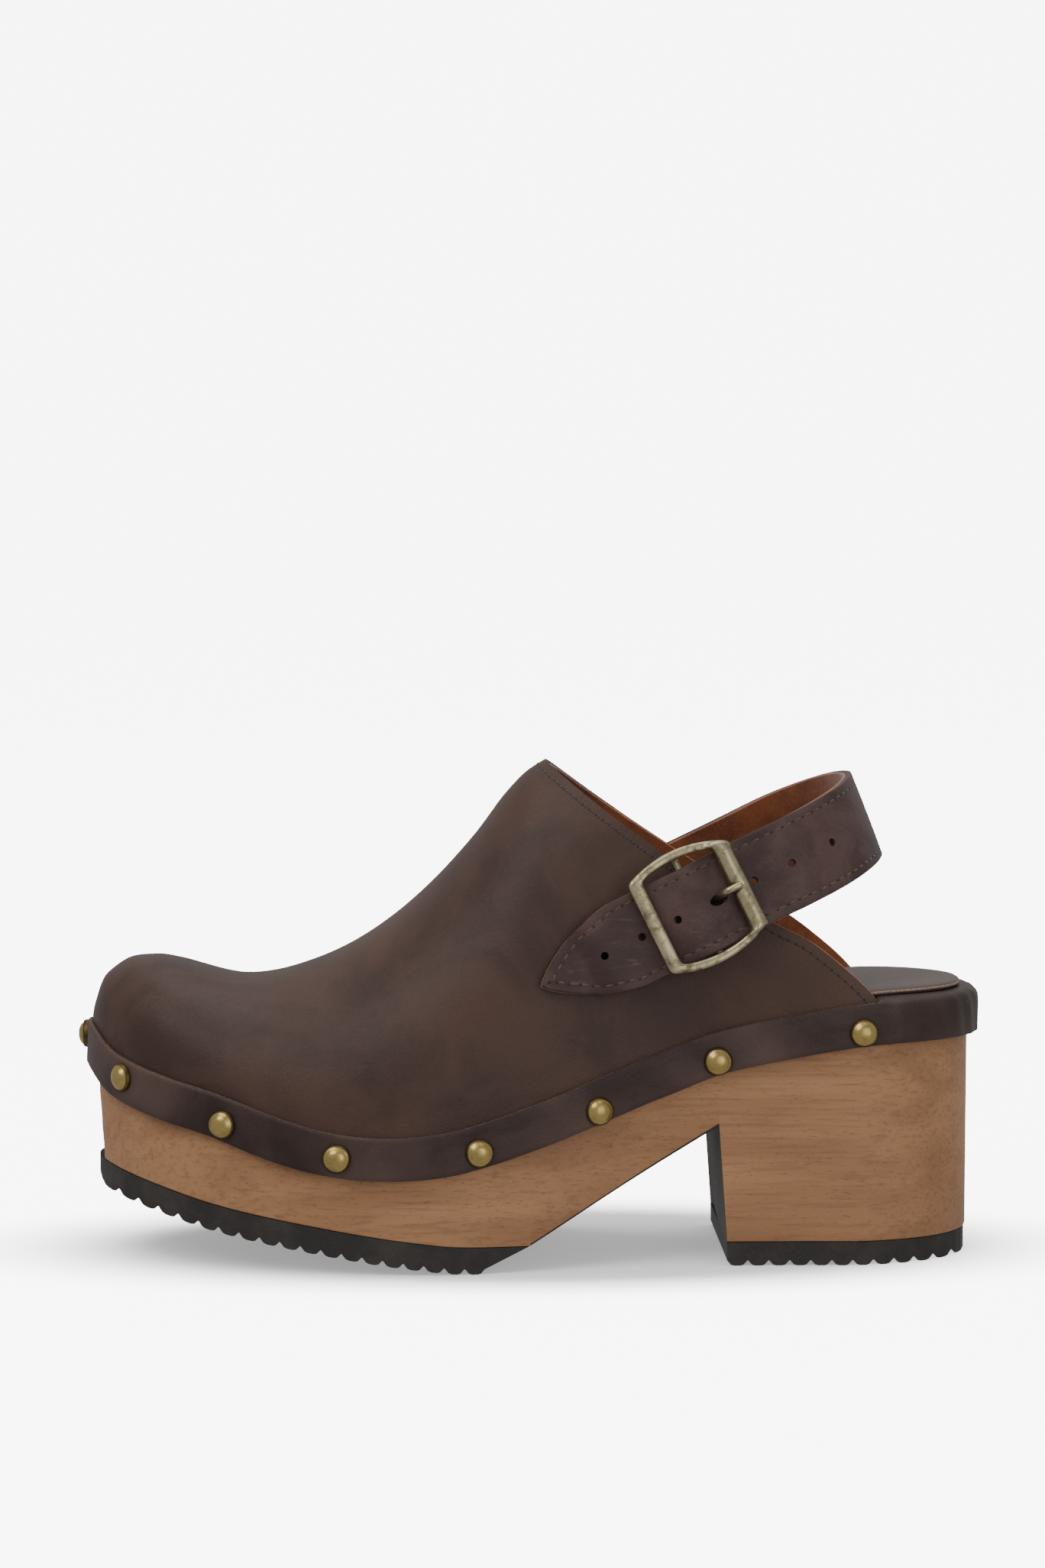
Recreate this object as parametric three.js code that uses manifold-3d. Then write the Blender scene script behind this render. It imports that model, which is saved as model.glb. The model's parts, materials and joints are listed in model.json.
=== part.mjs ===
// A left clog: a carved wooden sole on rubber treads, a nailed leather vamp and a buckled heel strap.
// Millimetres. The toe points to -X, the outer (lateral) side of the foot faces -Y, and +Z is up.
import * as THREE from "three";
import { mergeVertices } from "three/addons/utils/BufferGeometryUtils.js";
import Module from "manifold-3d";

const wasm = await Module();
wasm.setup();

// ---------------------------------------------------------------- sizes

// Gap left between two pieces that touch, and the smaller one between glued layers.
const TOUCH = 0.3;
const GLUE = 0.25;

// Length of the wood. Stations along the shoe are measured from its toe.
const LENGTH = 253;

// Carved wooden sole, with half widths from its centre line.
const SOLE = {
  length: LENGTH,
  tipOffset: 7, // how far the toe tip lies to the inner side of the centre line
  ballLateral: 48,
  ballMedial: 46.5,
  waistLateral: 35.5,
  waistMedial: 31,
  heelHalf: 34,
  toeTop: 65, // heights of the top edge above the floor
  ballTop: 38.4,
  heelTop: 75.3,
  toeSpring: 19, // how far the underside rises at the toe
  archTop: 40.3, // top of the arch gap over the floor
  archFront: 0.4909 * LENGTH, // station where the slanted cut starts
  archRear: 0.7043 * LENGTH, // station where it meets the heel breast
  breastSlant: 2.5, // how far the heel's front face slants
  toeSlant: 2.3, // how far back the toe's face meets the underside
};

// Rubber treads under the forefoot and the heel.
const TREAD = {
  forefootThickness: 7.6,
  heelThickness: 6.8,
  lugDepth: 1.5,
  lugPitch: 5.9,
  crest: 1.6,
  inset: 0.4,
};

// Leather rand nailed round the edge, with dome-headed nails.
const BAND = { width: 12.2, overlap: 1.2, thickness: 1.25, shelf: 11, shelfThickness: 1.4 };
const STUD = { diameter: 8, domeHeight: 2.5, rim: 0.5, shank: 1.6, depth: 8, bore: 0.3 };
// Share of the length at which each pair of nails sits, and how far below the middle of the band.
const STUD_PAIRS = [
  [0.031, 0.2],
  [0.146, 1.9],
  [0.274, 0.7],
  [0.433, 1.8],
  [0.568, 3],
  [0.702, 2.2],
  [0.866, 2.1],
];
const REAR_STUD = [0.985, 1.2];
const TOE_STUD_RISE = 1.6;

// Vamp, its lining and the stiff toe puff between them.
const VAMP = {
  leather: 1.3,
  lining: 0.9,
  puff: 0.8,
  puffLength: 40,
  margin: 8,
  toeHeight: 31, // heights over the edge of the sole
  dipHeight: 31.9,
  throatHeight: 93.4,
  throatStation: 0.5126 * LENGTH,
  rearStation: 0.8874 * LENGTH,
  toeSquareness: 2.5,
  instepSquareness: 1.95,
};

// Sock that covers the footbed, over a thin pad.
const INSOLE = { cover: 1.7, pad: 1.3, heelInset: 6, backReach: 3.8, padInset: 12.5 };

// Heel strap: leather over lining, lying in a plane that rises towards the heel.
const STRAP = {
  width: 25.6,
  leather: 1.6,
  lining: 1,
  pitch: 25.5, // degrees
  backHeight: 50.6, // of its centre at the back, over the edge of the sole
  backStation: 0.8708 * LENGTH,
  backLean: -4, // degrees that its top edge leans in at the back
  loopHalf: 33.5,
  hingeStation: 0.7846 * LENGTH,
  tipStation: 0.502 * LENGTH,
  tipLength: 34,
  medialEndStation: 0.5573 * LENGTH,
  holeDiameter: 2.4,
  holePitch: 11.75,
  holeCount: 7,
  firstHole: 19.9,
};

// Centre-bar buckle on the outer side, made to fit the strap.
const BUCKLE = {
  station: 0.6779 * LENGTH,
  length: 31.5,
  width: STRAP.width + 8.9,
  barFront: 4.2,
  barRear: 5.3,
  rail: 2.6,
  thickness: 2.6,
  frontSpan: STRAP.width + 2.4,
  rearSpan: STRAP.width + 0.4,
  pin: 2.2,
  pinHeight: 3, // axis of the centre bar over the vamp
  frameHeight: 7.7, // underside of the frame over the vamp
  tabWidth: 0.7 * STRAP.width,
  tabLength: 24,
  tabLeather: 1.2,
  prong: 2.2,
};

// ---------------------------------------------------------------- finishes

function finish(color, roughness, metalness = 0) {
  return new THREE.MeshStandardMaterial({ color, roughness, metalness });
}

const WOOD = finish(0xa5805f, 0.55);
const RUBBER = finish(0x3a3430, 0.8);
const LEATHER = finish(0x523e36, 0.45);
const BAND_LEATHER = finish(0x3e302e, 0.5);
const STRAP_LEATHER = finish(0x4b3c3a, 0.5);
const LINING = finish(0x733c1e, 0.85);
const SOCK = finish(0x695c56, 0.5);
const PAD = finish(0x8c8478, 0.95);
const PUFF = finish(0x9c8f7d, 0.9);
const BRASS = finish(0x967f4c, 0.35, 0.9);

// ---------------------------------------------------------------- helpers

const { lerp, degToRad, clamp, smoothstep } = THREE.MathUtils;

// A closed geometry as a manifold solid.
function solid(geometry) {
  const bare = geometry.clone();
  bare.deleteAttribute("normal");
  bare.deleteAttribute("uv");
  const merged = mergeVertices(bare, 1e-4);
  return new wasm.Manifold(
    new wasm.Mesh({
      numProp: 3,
      vertProperties: merged.attributes.position.array,
      triVerts: new Uint32Array(merged.index.array),
    }),
  );
}

// A manifold solid as a named mesh.
function mesh(name, body, material) {
  const { vertProperties, triVerts } = body.getMesh();
  const geometry = new THREE.BufferGeometry();
  geometry.setAttribute("position", new THREE.BufferAttribute(vertProperties, 3));
  geometry.setIndex(new THREE.BufferAttribute(triVerts, 1));
  geometry.computeVertexNormals();
  const made = new THREE.Mesh(geometry, material);
  made.name = name;
  return made;
}

function shapeOf(points) {
  return new THREE.Shape(points.map(([a, b]) => new THREE.Vector2(a, b)));
}

// A plan outline (x, y) raised from z0 to z1.
function uprightPrism(points, z0, z1) {
  const geometry = new THREE.ExtrudeGeometry(shapeOf(points), { depth: z1 - z0, bevelEnabled: false });
  return solid(geometry.translate(0, 0, z0));
}

// A side outline (x, z) drawn across the shoe from y0 to y1.
function crossPrism(points, y0, y1) {
  const geometry = new THREE.ExtrudeGeometry(shapeOf(points), { depth: y1 - y0, bevelEnabled: false });
  return solid(geometry.rotateX(Math.PI / 2).translate(0, y1, 0));
}

// A polyline of points with rising x, as a function of x.
function followed(line) {
  return (x) => {
    const found = line.findIndex((p) => p.x >= x);
    const next = found < 0 ? line.length - 1 : Math.max(1, found);
    const [a, b] = [line[next - 1], line[next]];
    return lerp(a.y, b.y, clamp((x - a.x) / (b.x - a.x), 0, 1));
  };
}

// A smooth line through [x, value] points, as a function of x.
function lineThrough(points, samples = 160) {
  const curve = new THREE.SplineCurve(points.map(([x, v]) => new THREE.Vector2(x, v)));
  return followed(curve.getPoints(samples));
}

// A block whose unit coordinates (u, v, w) are each sent to a place: a bent, tapered or wrapped slab.
function bentBlock(steps, place) {
  const geometry = new THREE.BoxGeometry(1, 1, 1, ...steps);
  const position = geometry.attributes.position;
  for (let i = 0; i < position.count; i++) {
    const spot = place(position.getX(i) + 0.5, position.getY(i) + 0.5, position.getZ(i) + 0.5);
    position.setXYZ(i, spot.x, spot.y, spot.z);
  }
  return solid(geometry);
}

// A body lofted through sections: section(k) gives the points round section k, anticlockwise seen from +X.
function loftedBody(count, around, section) {
  const sections = Array.from({ length: count }, (_, k) => section(k));
  const geometry = new THREE.CylinderGeometry(1, 1, 1, around, count - 1);
  const position = geometry.attributes.position;
  for (let i = 0; i < position.count; i++) {
    const ring = sections[Math.round((position.getY(i) + 0.5) * (count - 1))];
    const onAxis = Math.hypot(position.getX(i), position.getZ(i)) < 0.5;
    const turn = Math.atan2(position.getX(i), position.getZ(i)) / (2 * Math.PI);
    const step = Math.round((turn + 1) * around) % around;
    const spot = onAxis ? ring.centre : ring.points[step];
    position.setXYZ(i, spot.x, spot.y, spot.z);
  }
  return solid(geometry);
}

// ---------------------------------------------------------------- the sole's lines

// Plan outline of the sole's edge, moved outwards by grow.
function soleOutline(grow = 0) {
  const { length, tipOffset, ballLateral, ballMedial, waistLateral, waistMedial, heelHalf } = SOLE;
  const keys = [
    [0, tipOffset],
    [0.012, -0.17 * ballLateral],
    [0.058, -0.5 * ballLateral],
    [0.145, -0.77 * ballLateral],
    [0.25, -0.94 * ballLateral],
    [0.36, -ballLateral],
    [0.49, -0.91 * ballLateral],
    [0.63, -waistLateral],
    [0.79, -heelHalf],
    [0.88, -0.985 * heelHalf],
    [0.955, -0.72 * heelHalf],
    [0.993, -0.3 * heelHalf],
    [0.993, 0.3 * heelHalf],
    [0.955, 0.7 * heelHalf],
    [0.88, 0.97 * heelHalf],
    [0.79, heelHalf],
    [0.64, waistMedial],
    [0.5, 0.8 * ballMedial],
    [0.4, 0.945 * ballMedial],
    [0.29, ballMedial],
    [0.16, 0.905 * ballMedial],
    [0.07, 0.735 * ballMedial],
    [0.016, 0.47 * ballMedial],
  ];
  const curve = new THREE.CatmullRomCurve3(
    keys.map(([share, y]) => new THREE.Vector3(share * length, y, 0)),
    true,
  );
  return curve.getPoints(80).slice(0, -1).map((point, i, all) => {
    const tangent = curve.getTangent(i / all.length);
    return [point.x + tangent.y * grow, point.y - tangent.x * grow];
  });
}

// Half widths (lateral below zero, medial above) of a plan outline at station x.
function widthsAt(outline, x) {
  let lateral = Infinity;
  let medial = -Infinity;
  outline.forEach(([x0, y0], i) => {
    const [x1, y1] = outline[(i + 1) % outline.length];
    if (x0 === x1 || (x - x0) * (x - x1) > 0) return;
    const y = lerp(y0, y1, (x - x0) / (x1 - x0));
    lateral = Math.min(lateral, y);
    medial = Math.max(medial, y);
  });
  return { lateral, medial };
}

// Height of the sole's top edge over the floor, at station x.
const topEdge = (() => {
  const { length, toeTop, ballTop, heelTop } = SOLE;
  const front = (share, rise) => [share * length, ballTop + rise * (toeTop - ballTop)];
  const rear = (share, rise) => [share * length, ballTop + rise * (heelTop - ballTop)];
  return lineThrough([
    front(-0.02, 1.12),
    front(0, 1),
    front(0.03, 0.75),
    front(0.087, 0.56),
    front(0.146, 0.41),
    front(0.22, 0.165),
    front(0.272, 0.045),
    front(0.324, 0),
    rear(0.38, 0.022),
    rear(0.43, 0.098),
    rear(0.5, 0.255),
    rear(0.57, 0.436),
    rear(0.636, 0.607),
    rear(0.704, 0.772),
    rear(0.795, 0.9),
    rear(0.88, 0.985),
    rear(1, 1),
    rear(1.02, 1),
  ]);
})();

// Height of the wooden underside in front of the arch, at station x.
const underside = (() => {
  const { toeSpring, archFront } = SOLE;
  const point = (share, rise) => [share * archFront, TREAD.forefootThickness + GLUE + rise * toeSpring];
  return lineThrough([
    point(-0.02, 1.06),
    point(0.02, 1),
    point(0.14, 0.8),
    point(0.3, 0.54),
    point(0.55, 0.26),
    point(0.75, 0.07),
    point(0.88, 0),
    point(1.2, 0),
  ]);
})();

const ARCH_SLOPE = (SOLE.archTop - underside(SOLE.archFront)) / (SOLE.archRear - SOLE.archFront);
const stations = (from, to, count) => Array.from({ length: count + 1 }, (_, i) => lerp(from, to, i / count));
const BELOW = -20;
const ABOVE = 220;
const ACROSS = 80;

// ---------------------------------------------------------------- sole, treads, footbed

function woodSole() {
  const { length, archFront, archRear, archTop, breastSlant, toeSlant } = SOLE;
  const bottom = TREAD.heelThickness + GLUE;
  const side = [
    [toeSlant, underside(toeSlant)],
    ...stations(archFront * 0.06, archFront, 20).map((x) => [x, underside(x)]),
    [archRear, archTop],
    [archRear + breastSlant, bottom],
    [length + 1, bottom],
    ...stations(length + 1, -1, 44).map((x) => [x, topEdge(x)]),
  ];
  const block = uprightPrism(soleOutline(), BELOW, ABOVE);
  return block.intersect(crossPrism(side, -ACROSS, ACROSS));
}

// Rounded lugs along a line, from station x0 to x1: the tread's underside as [x, z] points.
function lugLine(line, thickness, x0, x1) {
  const { lugDepth, lugPitch, crest } = TREAD;
  const count = Math.max(2, Math.round((x1 - x0) / lugPitch));
  const pitch = (x1 - x0) / count;
  const low = (x, depth) => [x, line(x) - thickness - GLUE + lugDepth - depth];
  return Array.from({ length: count }, (_, i) => x0 + i * pitch).flatMap((x) => [
    low(x + 0.02 * pitch, 0),
    low(x + 0.2 * pitch, 0.8 * lugDepth),
    low(x + 0.5 * (pitch - crest), lugDepth),
    low(x + 0.5 * (pitch + crest), lugDepth),
    low(x + 0.8 * pitch, 0.8 * lugDepth),
    low(x + 0.98 * pitch, 0),
  ]);
}

function forefootTread() {
  const { archFront } = SOLE;
  const rear = archFront - underside(archFront) / ARCH_SLOPE;
  const side = [
    ...lugLine(underside, TREAD.forefootThickness, 1, rear),
    [archFront - GLUE / ARCH_SLOPE, underside(archFront) - GLUE],
    ...stations(archFront - 4, -3, 22).map((x) => [x, underside(x) - GLUE]),
  ];
  const block = uprightPrism(soleOutline(-TREAD.inset), BELOW, ABOVE);
  return block.intersect(crossPrism(side, -ACROSS, ACROSS));
}

function heelTread() {
  const { length, archRear, breastSlant } = SOLE;
  const front = archRear + breastSlant;
  const { heelThickness, lugPitch } = TREAD;
  const side = [
    ...lugLine(() => heelThickness + GLUE, heelThickness, front, length + lugPitch),
    [length + lugPitch, heelThickness],
    [front, heelThickness],
  ];
  const block = uprightPrism(soleOutline(-TREAD.inset), BELOW, ABOVE);
  return block.intersect(crossPrism(side, -ACROSS, ACROSS));
}

// A layer that follows the sole's top edge between two heights over it.
function topLayer(outline, low, high, x0 = -10, x1 = SOLE.length + 10) {
  const line = stations(x0, x1, 44);
  const side = [
    ...line.map((x) => [x, topEdge(x) + low]),
    ...line.reverse().map((x) => [x, topEdge(x) + high]),
  ];
  return uprightPrism(outline, BELOW, ABOVE).intersect(crossPrism(side, -ACROSS, ACROSS));
}

const SHELF_TOP = TOUCH + BAND.shelfThickness;

// The sock's cover, set in from the edge at the sides and reaching further back at the heel.
function insoleCover() {
  const { heelInset, backReach, cover } = INSOLE;
  const outline = soleOutline(-heelInset).map(([x, y]) => {
    return [x + backReach * smoothstep(x, 0.75 * LENGTH, LENGTH - heelInset), y];
  });
  return topLayer(outline, SHELF_TOP + TOUCH, SHELF_TOP + TOUCH + cover);
}

function insolePad() {
  return topLayer(soleOutline(-INSOLE.padInset), TOUCH, TOUCH + INSOLE.pad);
}

// ---------------------------------------------------------------- vamp

// Height of the vamp's ridge over the sole's top edge.
const ridge = (() => {
  const { toeHeight, dipHeight, throatHeight, throatStation } = VAMP;
  const toe = (share, rise) => [share * LENGTH, rise * toeHeight];
  const instep = (share, rise) => [
    share * throatStation,
    dipHeight + rise * (throatHeight - dipHeight),
  ];
  return lineThrough([
    toe(-0.0063, 0.02),
    toe(-0.0024, 0.2),
    toe(0.0099, 0.53),
    toe(0.0332, 0.82),
    toe(0.0628, 0.95),
    toe(0.0949, 1),
    instep(0.33, 0),
    instep(0.5, 0.19),
    instep(0.665, 0.43),
    instep(0.83, 0.73),
    instep(0.92, 0.92),
    instep(1, 1),
    instep(1.2, 1.04),
    instep(1.8, 0.85),
  ]);
})();

const MARGIN_FIT = TOUCH * 0.8;
const SKIVE = 0.2; // thinned off the inside of the margin where it lies on the wood
const VAMP_OUT = MARGIN_FIT + VAMP.leather;

// Where the ridge runs across the shoe: towards the inner side at the toe, central at the throat.
const ridgeLine = (x) => lerp(SOLE.tipOffset, 0, smoothstep(x, 0, VAMP.throatStation));
const squareness = (x) =>
  lerp(VAMP.toeSquareness, VAMP.instepSquareness, smoothstep(x, 0, VAMP.throatStation));

// Half width of the vamp's outer face at station x and height z, on the lateral (-1) or medial (1) side.
function vampSide(x, z, side) {
  const widths = widthsAt(soleOutline(VAMP_OUT), x);
  const share = clamp((z - topEdge(x)) / ridge(x), 0, 0.999);
  const n = squareness(x);
  const full = side < 0 ? widths.lateral : widths.medial;
  return lerp(ridgeLine(x), full, (1 - share ** n) ** (1 / n));
}

// Height of the ridge over the floor once the vamp's outer face is moved in by inset(x).
function insetRidge(inset, x1) {
  const height = (x) => topEdge(x) + ridge(x);
  const line = Array.from({ length: 201 }, (_, i) => {
    const x = lerp(-VAMP_OUT, x1 + 10, (i / 200) ** 2);
    const slope = (height(x + 0.05) - height(x - 0.05)) / 0.1;
    const reach = inset(x) / Math.hypot(1, slope);
    return new THREE.Vector2(x + slope * reach, height(x) - reach);
  });
  return followed(line.filter((p, i) => line.slice(0, i).every((q) => q.x < p.x)));
}

// The form inside the vamp's outer face, moved in by inset(x), and down to drop below the sole's edge.
function upperForm(inset, drop, x1) {
  const around = 24;
  const count = 32;
  const top = insetRidge(inset, x1);
  const outlines = [0, 4].map((g) => soleOutline(VAMP_OUT - g));
  const x0 = -VAMP_OUT + inset(0) + 0.12;
  return loftedBody(count, around, (k) => {
    const x = lerp(x0, x1, (k / (count - 1)) ** 1.7);
    const [outer, inner] = outlines.map((outline) => widthsAt(outline, x));
    const known = Number.isFinite(inner.lateral);
    const blend = inset(x) / 4;
    const lateral = known ? lerp(outer.lateral, inner.lateral, blend) : outer.lateral + inset(x);
    const medial = known ? lerp(outer.medial, inner.medial, blend) : outer.medial - inset(x);
    const base = topEdge(x);
    const rise = Math.max(top(x) - base, 0.9 - 0.2 * inset(x));
    const middle = clamp(ridgeLine(x), lateral + 1, medial - 1);
    const n = squareness(x);
    const points = Array.from({ length: around }, (_, i) => {
      if (i === 0) return new THREE.Vector3(x, medial, base - drop);
      if (i === around - 1) return new THREE.Vector3(x, lateral, base - drop);
      const angle = ((i - 1) / (around - 3)) * Math.PI;
      const out = Math.abs(Math.cos(angle)) ** (2 / n);
      const up = Math.sin(angle) ** (2 / n);
      return new THREE.Vector3(x, lerp(middle, angle < Math.PI / 2 ? medial : lateral, out), base + rise * up);
    });
    return { centre: new THREE.Vector3(x, middle, base + 0.3 * rise), points };
  });
}

// Side outline of everything behind the collar edge, which slopes from the throat to the sole's edge.
function behindCollar() {
  const { throatStation, throatHeight, rearStation } = VAMP;
  const point = (share, rise) => {
    const x = lerp(throatStation, rearStation, share);
    return [x, topEdge(x) + rise * throatHeight];
  };
  const collar = new THREE.SplineCurve(
    [
      point(0, 1),
      point(0.19, 0.777),
      point(0.351, 0.6),
      point(0.657, 0.313),
      point(0.784, 0.223),
      point(0.92, 0.092),
      point(1, 0),
    ].map(([x, z]) => new THREE.Vector2(x, z)),
  );
  return [
    [throatStation - 3, ABOVE],
    [throatStation - 3, throatHeight + topEdge(throatStation) + 3],
    ...collar.getPoints(24).map((p) => [p.x, p.y]),
    [rearStation, BELOW],
    [SOLE.length + 40, BELOW],
    [SOLE.length + 40, ABOVE],
  ];
}

const constant = (value) => () => value;

// Extra room behind the blunt toe, for the stiffener and the lining.
const toeRoom = (x) => 0.5 * (1 - smoothstep(x, 2, 12));
const rearCut = () => crossPrism(behindCollar(), -ACROSS, ACROSS);

function shell(outer, inner, drop) {
  const x1 = VAMP.rearStation + 6;
  return upperForm(outer, drop, x1).subtract(upperForm(inner, drop + 5, x1)).subtract(rearCut());
}

function vamp() {
  const lasted = topLayer(soleOutline(MARGIN_FIT + SKIVE), -60, TOUCH);
  return shell(constant(0), constant(VAMP.leather), VAMP.margin).subtract(lasted);
}

// The lining sits against the vamp, and behind the toe puff at the toe.
function vampLining() {
  const { leather, puff, lining, puffLength } = VAMP;
  const front = leather + GLUE + puff + GLUE;
  const behind = leather + GLUE;
  const face = (x) => lerp(front, behind, smoothstep(x, puffLength + 1, puffLength + 14)) + 2 * toeRoom(x);
  const body = shell(face, (x) => face(x) + lining, 0);
  return body.subtract(topLayer(soleOutline(20), -60, TOUCH));
}

function toePuff() {
  const { leather, puff, puffLength } = VAMP;
  const face = (x) => leather + GLUE + toeRoom(x);
  const body = shell(face, (x) => face(x) + puff, 0).subtract(topLayer(soleOutline(20), -60, TOUCH));
  const behind = [
    [puffLength, BELOW],
    [SOLE.length, BELOW],
    [SOLE.length, ABOVE],
    [puffLength, ABOVE],
  ];
  return body.subtract(crossPrism(behind, -ACROSS, ACROSS));
}

// ---------------------------------------------------------------- rand and studs

const BAND_IN = VAMP_OUT + TOUCH + 0.1;
const BAND_OUT = BAND_IN + BAND.thickness;
const bandTop = (x) => topEdge(x) + BAND.overlap;
const bandSlope = (x) => ((topEdge(x + 3) - topEdge(x - 3)) / 6) * smoothstep(x, -4, 22);
const bandLow = (x) => bandTop(x) - BAND.width * Math.hypot(1, bandSlope(x));

function weltBand() {
  const line = stations(-6, SOLE.length + 6, 48);
  const side = [...line.map((x) => [x, bandLow(x)]), ...line.reverse().map((x) => [x, bandTop(x)])];
  const strip = crossPrism(side, -ACROSS, ACROSS);
  const ring = uprightPrism(soleOutline(BAND_OUT), BELOW, ABOVE).intersect(strip);
  const behindVamp = [
    [VAMP.rearStation + TOUCH, BELOW],
    [SOLE.length + 20, BELOW],
    [SOLE.length + 20, ABOVE],
    [VAMP.rearStation + TOUCH, ABOVE],
  ];
  const heelZone = crossPrism(behindVamp, -ACROSS, ACROSS);
  const front = ring.subtract(uprightPrism(soleOutline(BAND_IN), BELOW, ABOVE));
  const heelWall = ring.subtract(uprightPrism(soleOutline(TOUCH), BELOW, ABOVE)).intersect(heelZone);
  const shelf = topLayer(soleOutline(BAND_OUT), TOUCH, SHELF_TOP)
    .subtract(uprightPrism(soleOutline(-BAND.shelf), BELOW, ABOVE))
    .intersect(heelZone);
  return front.add(heelWall).add(shelf);
}

// Place and outward direction of every stud: both sides of each station, the toe tip and the heel.
function studPlaces() {
  const outline = soleOutline(BAND_OUT);
  const place = ([share, drop], side) => {
    const x = share * LENGTH;
    const key = side < 0 ? "lateral" : "medial";
    const y = widthsAt(outline, x)[key];
    const slope = (widthsAt(outline, x + 1)[key] - widthsAt(outline, x - 1)[key]) / 2;
    const out = new THREE.Vector3(-slope, 1, 0).normalize().multiplyScalar(side);
    const z = (bandTop(x) + bandLow(x)) / 2 - drop;
    return { spot: new THREE.Vector3(x, y, z), out };
  };
  const both = STUD_PAIRS.flatMap((pair) => [-1, 1].map((side) => place(pair, side)));
  const toeHeight = (bandTop(0) + bandLow(0)) / 2 + TOE_STUD_RISE;
  const toe = {
    spot: new THREE.Vector3(-BAND_OUT, SOLE.tipOffset, toeHeight),
    out: new THREE.Vector3(-1, 0, 0),
  };
  return [...both, toe, place(REAR_STUD, 1)];
}

// A profile turned round the outward direction of a stud.
function turned({ spot, out }, profile) {
  const geometry = new THREE.LatheGeometry(profile.map(([r, h]) => new THREE.Vector2(r, h)), 12);
  geometry.applyQuaternion(new THREE.Quaternion().setFromUnitVectors(new THREE.Vector3(0, 1, 0), out));
  return solid(geometry.translate(spot.x, spot.y, spot.z));
}

function stud(place) {
  const { diameter, domeHeight, rim, shank, depth } = STUD;
  const radius = diameter / 2;
  const dome = stations(0, Math.PI / 2, 4).map((a) => [
    a === Math.PI / 2 ? 0 : radius * Math.cos(a),
    GLUE + rim + (domeHeight - rim) * Math.sin(a),
  ]);
  return turned(place, [
    [0, -depth],
    [shank / 2, 1.5 * shank - depth],
    [shank / 2, GLUE],
    [radius, GLUE],
    ...dome,
  ]);
}

function studBore(place) {
  const radius = STUD.shank / 2 + STUD.bore;
  return turned(place, [
    [0, -STUD.depth - 1],
    [radius, -STUD.depth - 1],
    [radius, 4],
    [0, 4],
  ]);
}

// ---------------------------------------------------------------- heel strap

const PITCH = degToRad(STRAP.pitch);
const UP_STRAP = new THREE.Vector3(-Math.sin(PITCH), 0, Math.cos(PITCH));
const ALONG = new THREE.Vector3(Math.cos(PITCH), 0, Math.sin(PITCH));

// Height of the strap's centre line at station x.
const strapHeight = (x) =>
  SOLE.heelTop + STRAP.backHeight - (STRAP.backStation - x) * Math.tan(PITCH);

// A point of the strap's inner face centre line: lift off the vamp's outer face at station x.
function strapSpot(x, side, lift) {
  const z = strapHeight(x);
  return new THREE.Vector3(x, vampSide(x, z, side) + side * lift, z);
}

// The strap's whole route, from its free tip over the buckle bar, round the heel, to its sewn end.
const strapRoute = (() => {
  const { hingeStation, tipStation, loopHalf, backStation, medialEndStation } = STRAP;
  const { station, pinHeight, length, tabLength } = BUCKLE;
  const over = pinHeight + BUCKLE.pin / 2 + BUCKLE.tabLeather + 2 * TOUCH;
  const loop = (share, half) => {
    const x = lerp(hingeStation, backStation, share);
    return new THREE.Vector3(x, half * loopHalf, strapHeight(x));
  };
  return new THREE.CatmullRomCurve3([
    strapSpot(tipStation, -1, TOUCH + 0.3),
    strapSpot(lerp(tipStation, station - tabLength, 0.6), -1, TOUCH + 0.3),
    strapSpot(station - tabLength - 3, -1, 2.7),
    strapSpot(station - length / 2, -1, 3.2),
    strapSpot(station - length / 4, -1, over - 1.3),
    strapSpot(station, -1, over),
    strapSpot(station + length / 4, -1, over - 1.8),
    strapSpot(station + length / 2, -1, 2.2),
    loop(0, -1),
    loop(0.45, -0.84),
    loop(0.83, -0.51),
    loop(1, 0),
    loop(0.83, 0.51),
    loop(0.45, 0.84),
    loop(0, 1),
    strapSpot(lerp(hingeStation, medialEndStation, 0.3), 1, 1.6),
    strapSpot(lerp(hingeStation, medialEndStation, 0.65), 1, TOUCH + 0.3),
    strapSpot(medialEndStation, 1, TOUCH + 0.3),
  ]);
})();

// Share of the route at which it crosses station x on the given side.
function routeShare(x, side) {
  const shares = stations(0, 1, 400);
  return shares.find((share) => {
    const point = strapRoute.getPoint(share);
    return side < 0 ? point.x >= x && point.y < 0 : point.x <= x && point.y > 0;
  });
}

// How far the strap leans in towards its top edge: with the vamp's side, hardly at all round the heel.
function strapLean(point) {
  const { hingeStation, backStation, backLean, width } = STRAP;
  const side = point.y < 0 ? -1 : 1;
  const x = Math.min(point.x, hingeStation - 8);
  const reach = (width / 2) * Math.cos(PITCH);
  const wide = (height) => Math.abs(vampSide(x + (height < 0 ? 1 : -1) * 5, strapHeight(x) + height, side));
  const lean = Math.atan2(wide(-reach) - wide(reach), 2 * reach);
  return lerp(lean, degToRad(backLean), smoothstep(point.x, hingeStation - 8, backStation));
}

// A layer of the strap between two shares of its route and two depths from its inner face.
function strapLayer(from, to, depth0, depth1, steps) {
  const half = STRAP.width / 2;
  return bentBlock([steps, 4, 1], (u, v, w) => {
    const share = lerp(from, to, u);
    const point = strapRoute.getPoint(share);
    const tangent = strapRoute.getTangent(share);
    const out = new THREE.Vector3().crossVectors(tangent, UP_STRAP).normalize();
    const across = UP_STRAP.clone().applyAxisAngle(tangent, -strapLean(point));
    const outward = out.applyAxisAngle(tangent, -strapLean(point));
    return point
      .addScaledVector(across, (v - 0.5) * 2 * half)
      .addScaledVector(outward, lerp(depth0, depth1, w));
  });
}

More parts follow.
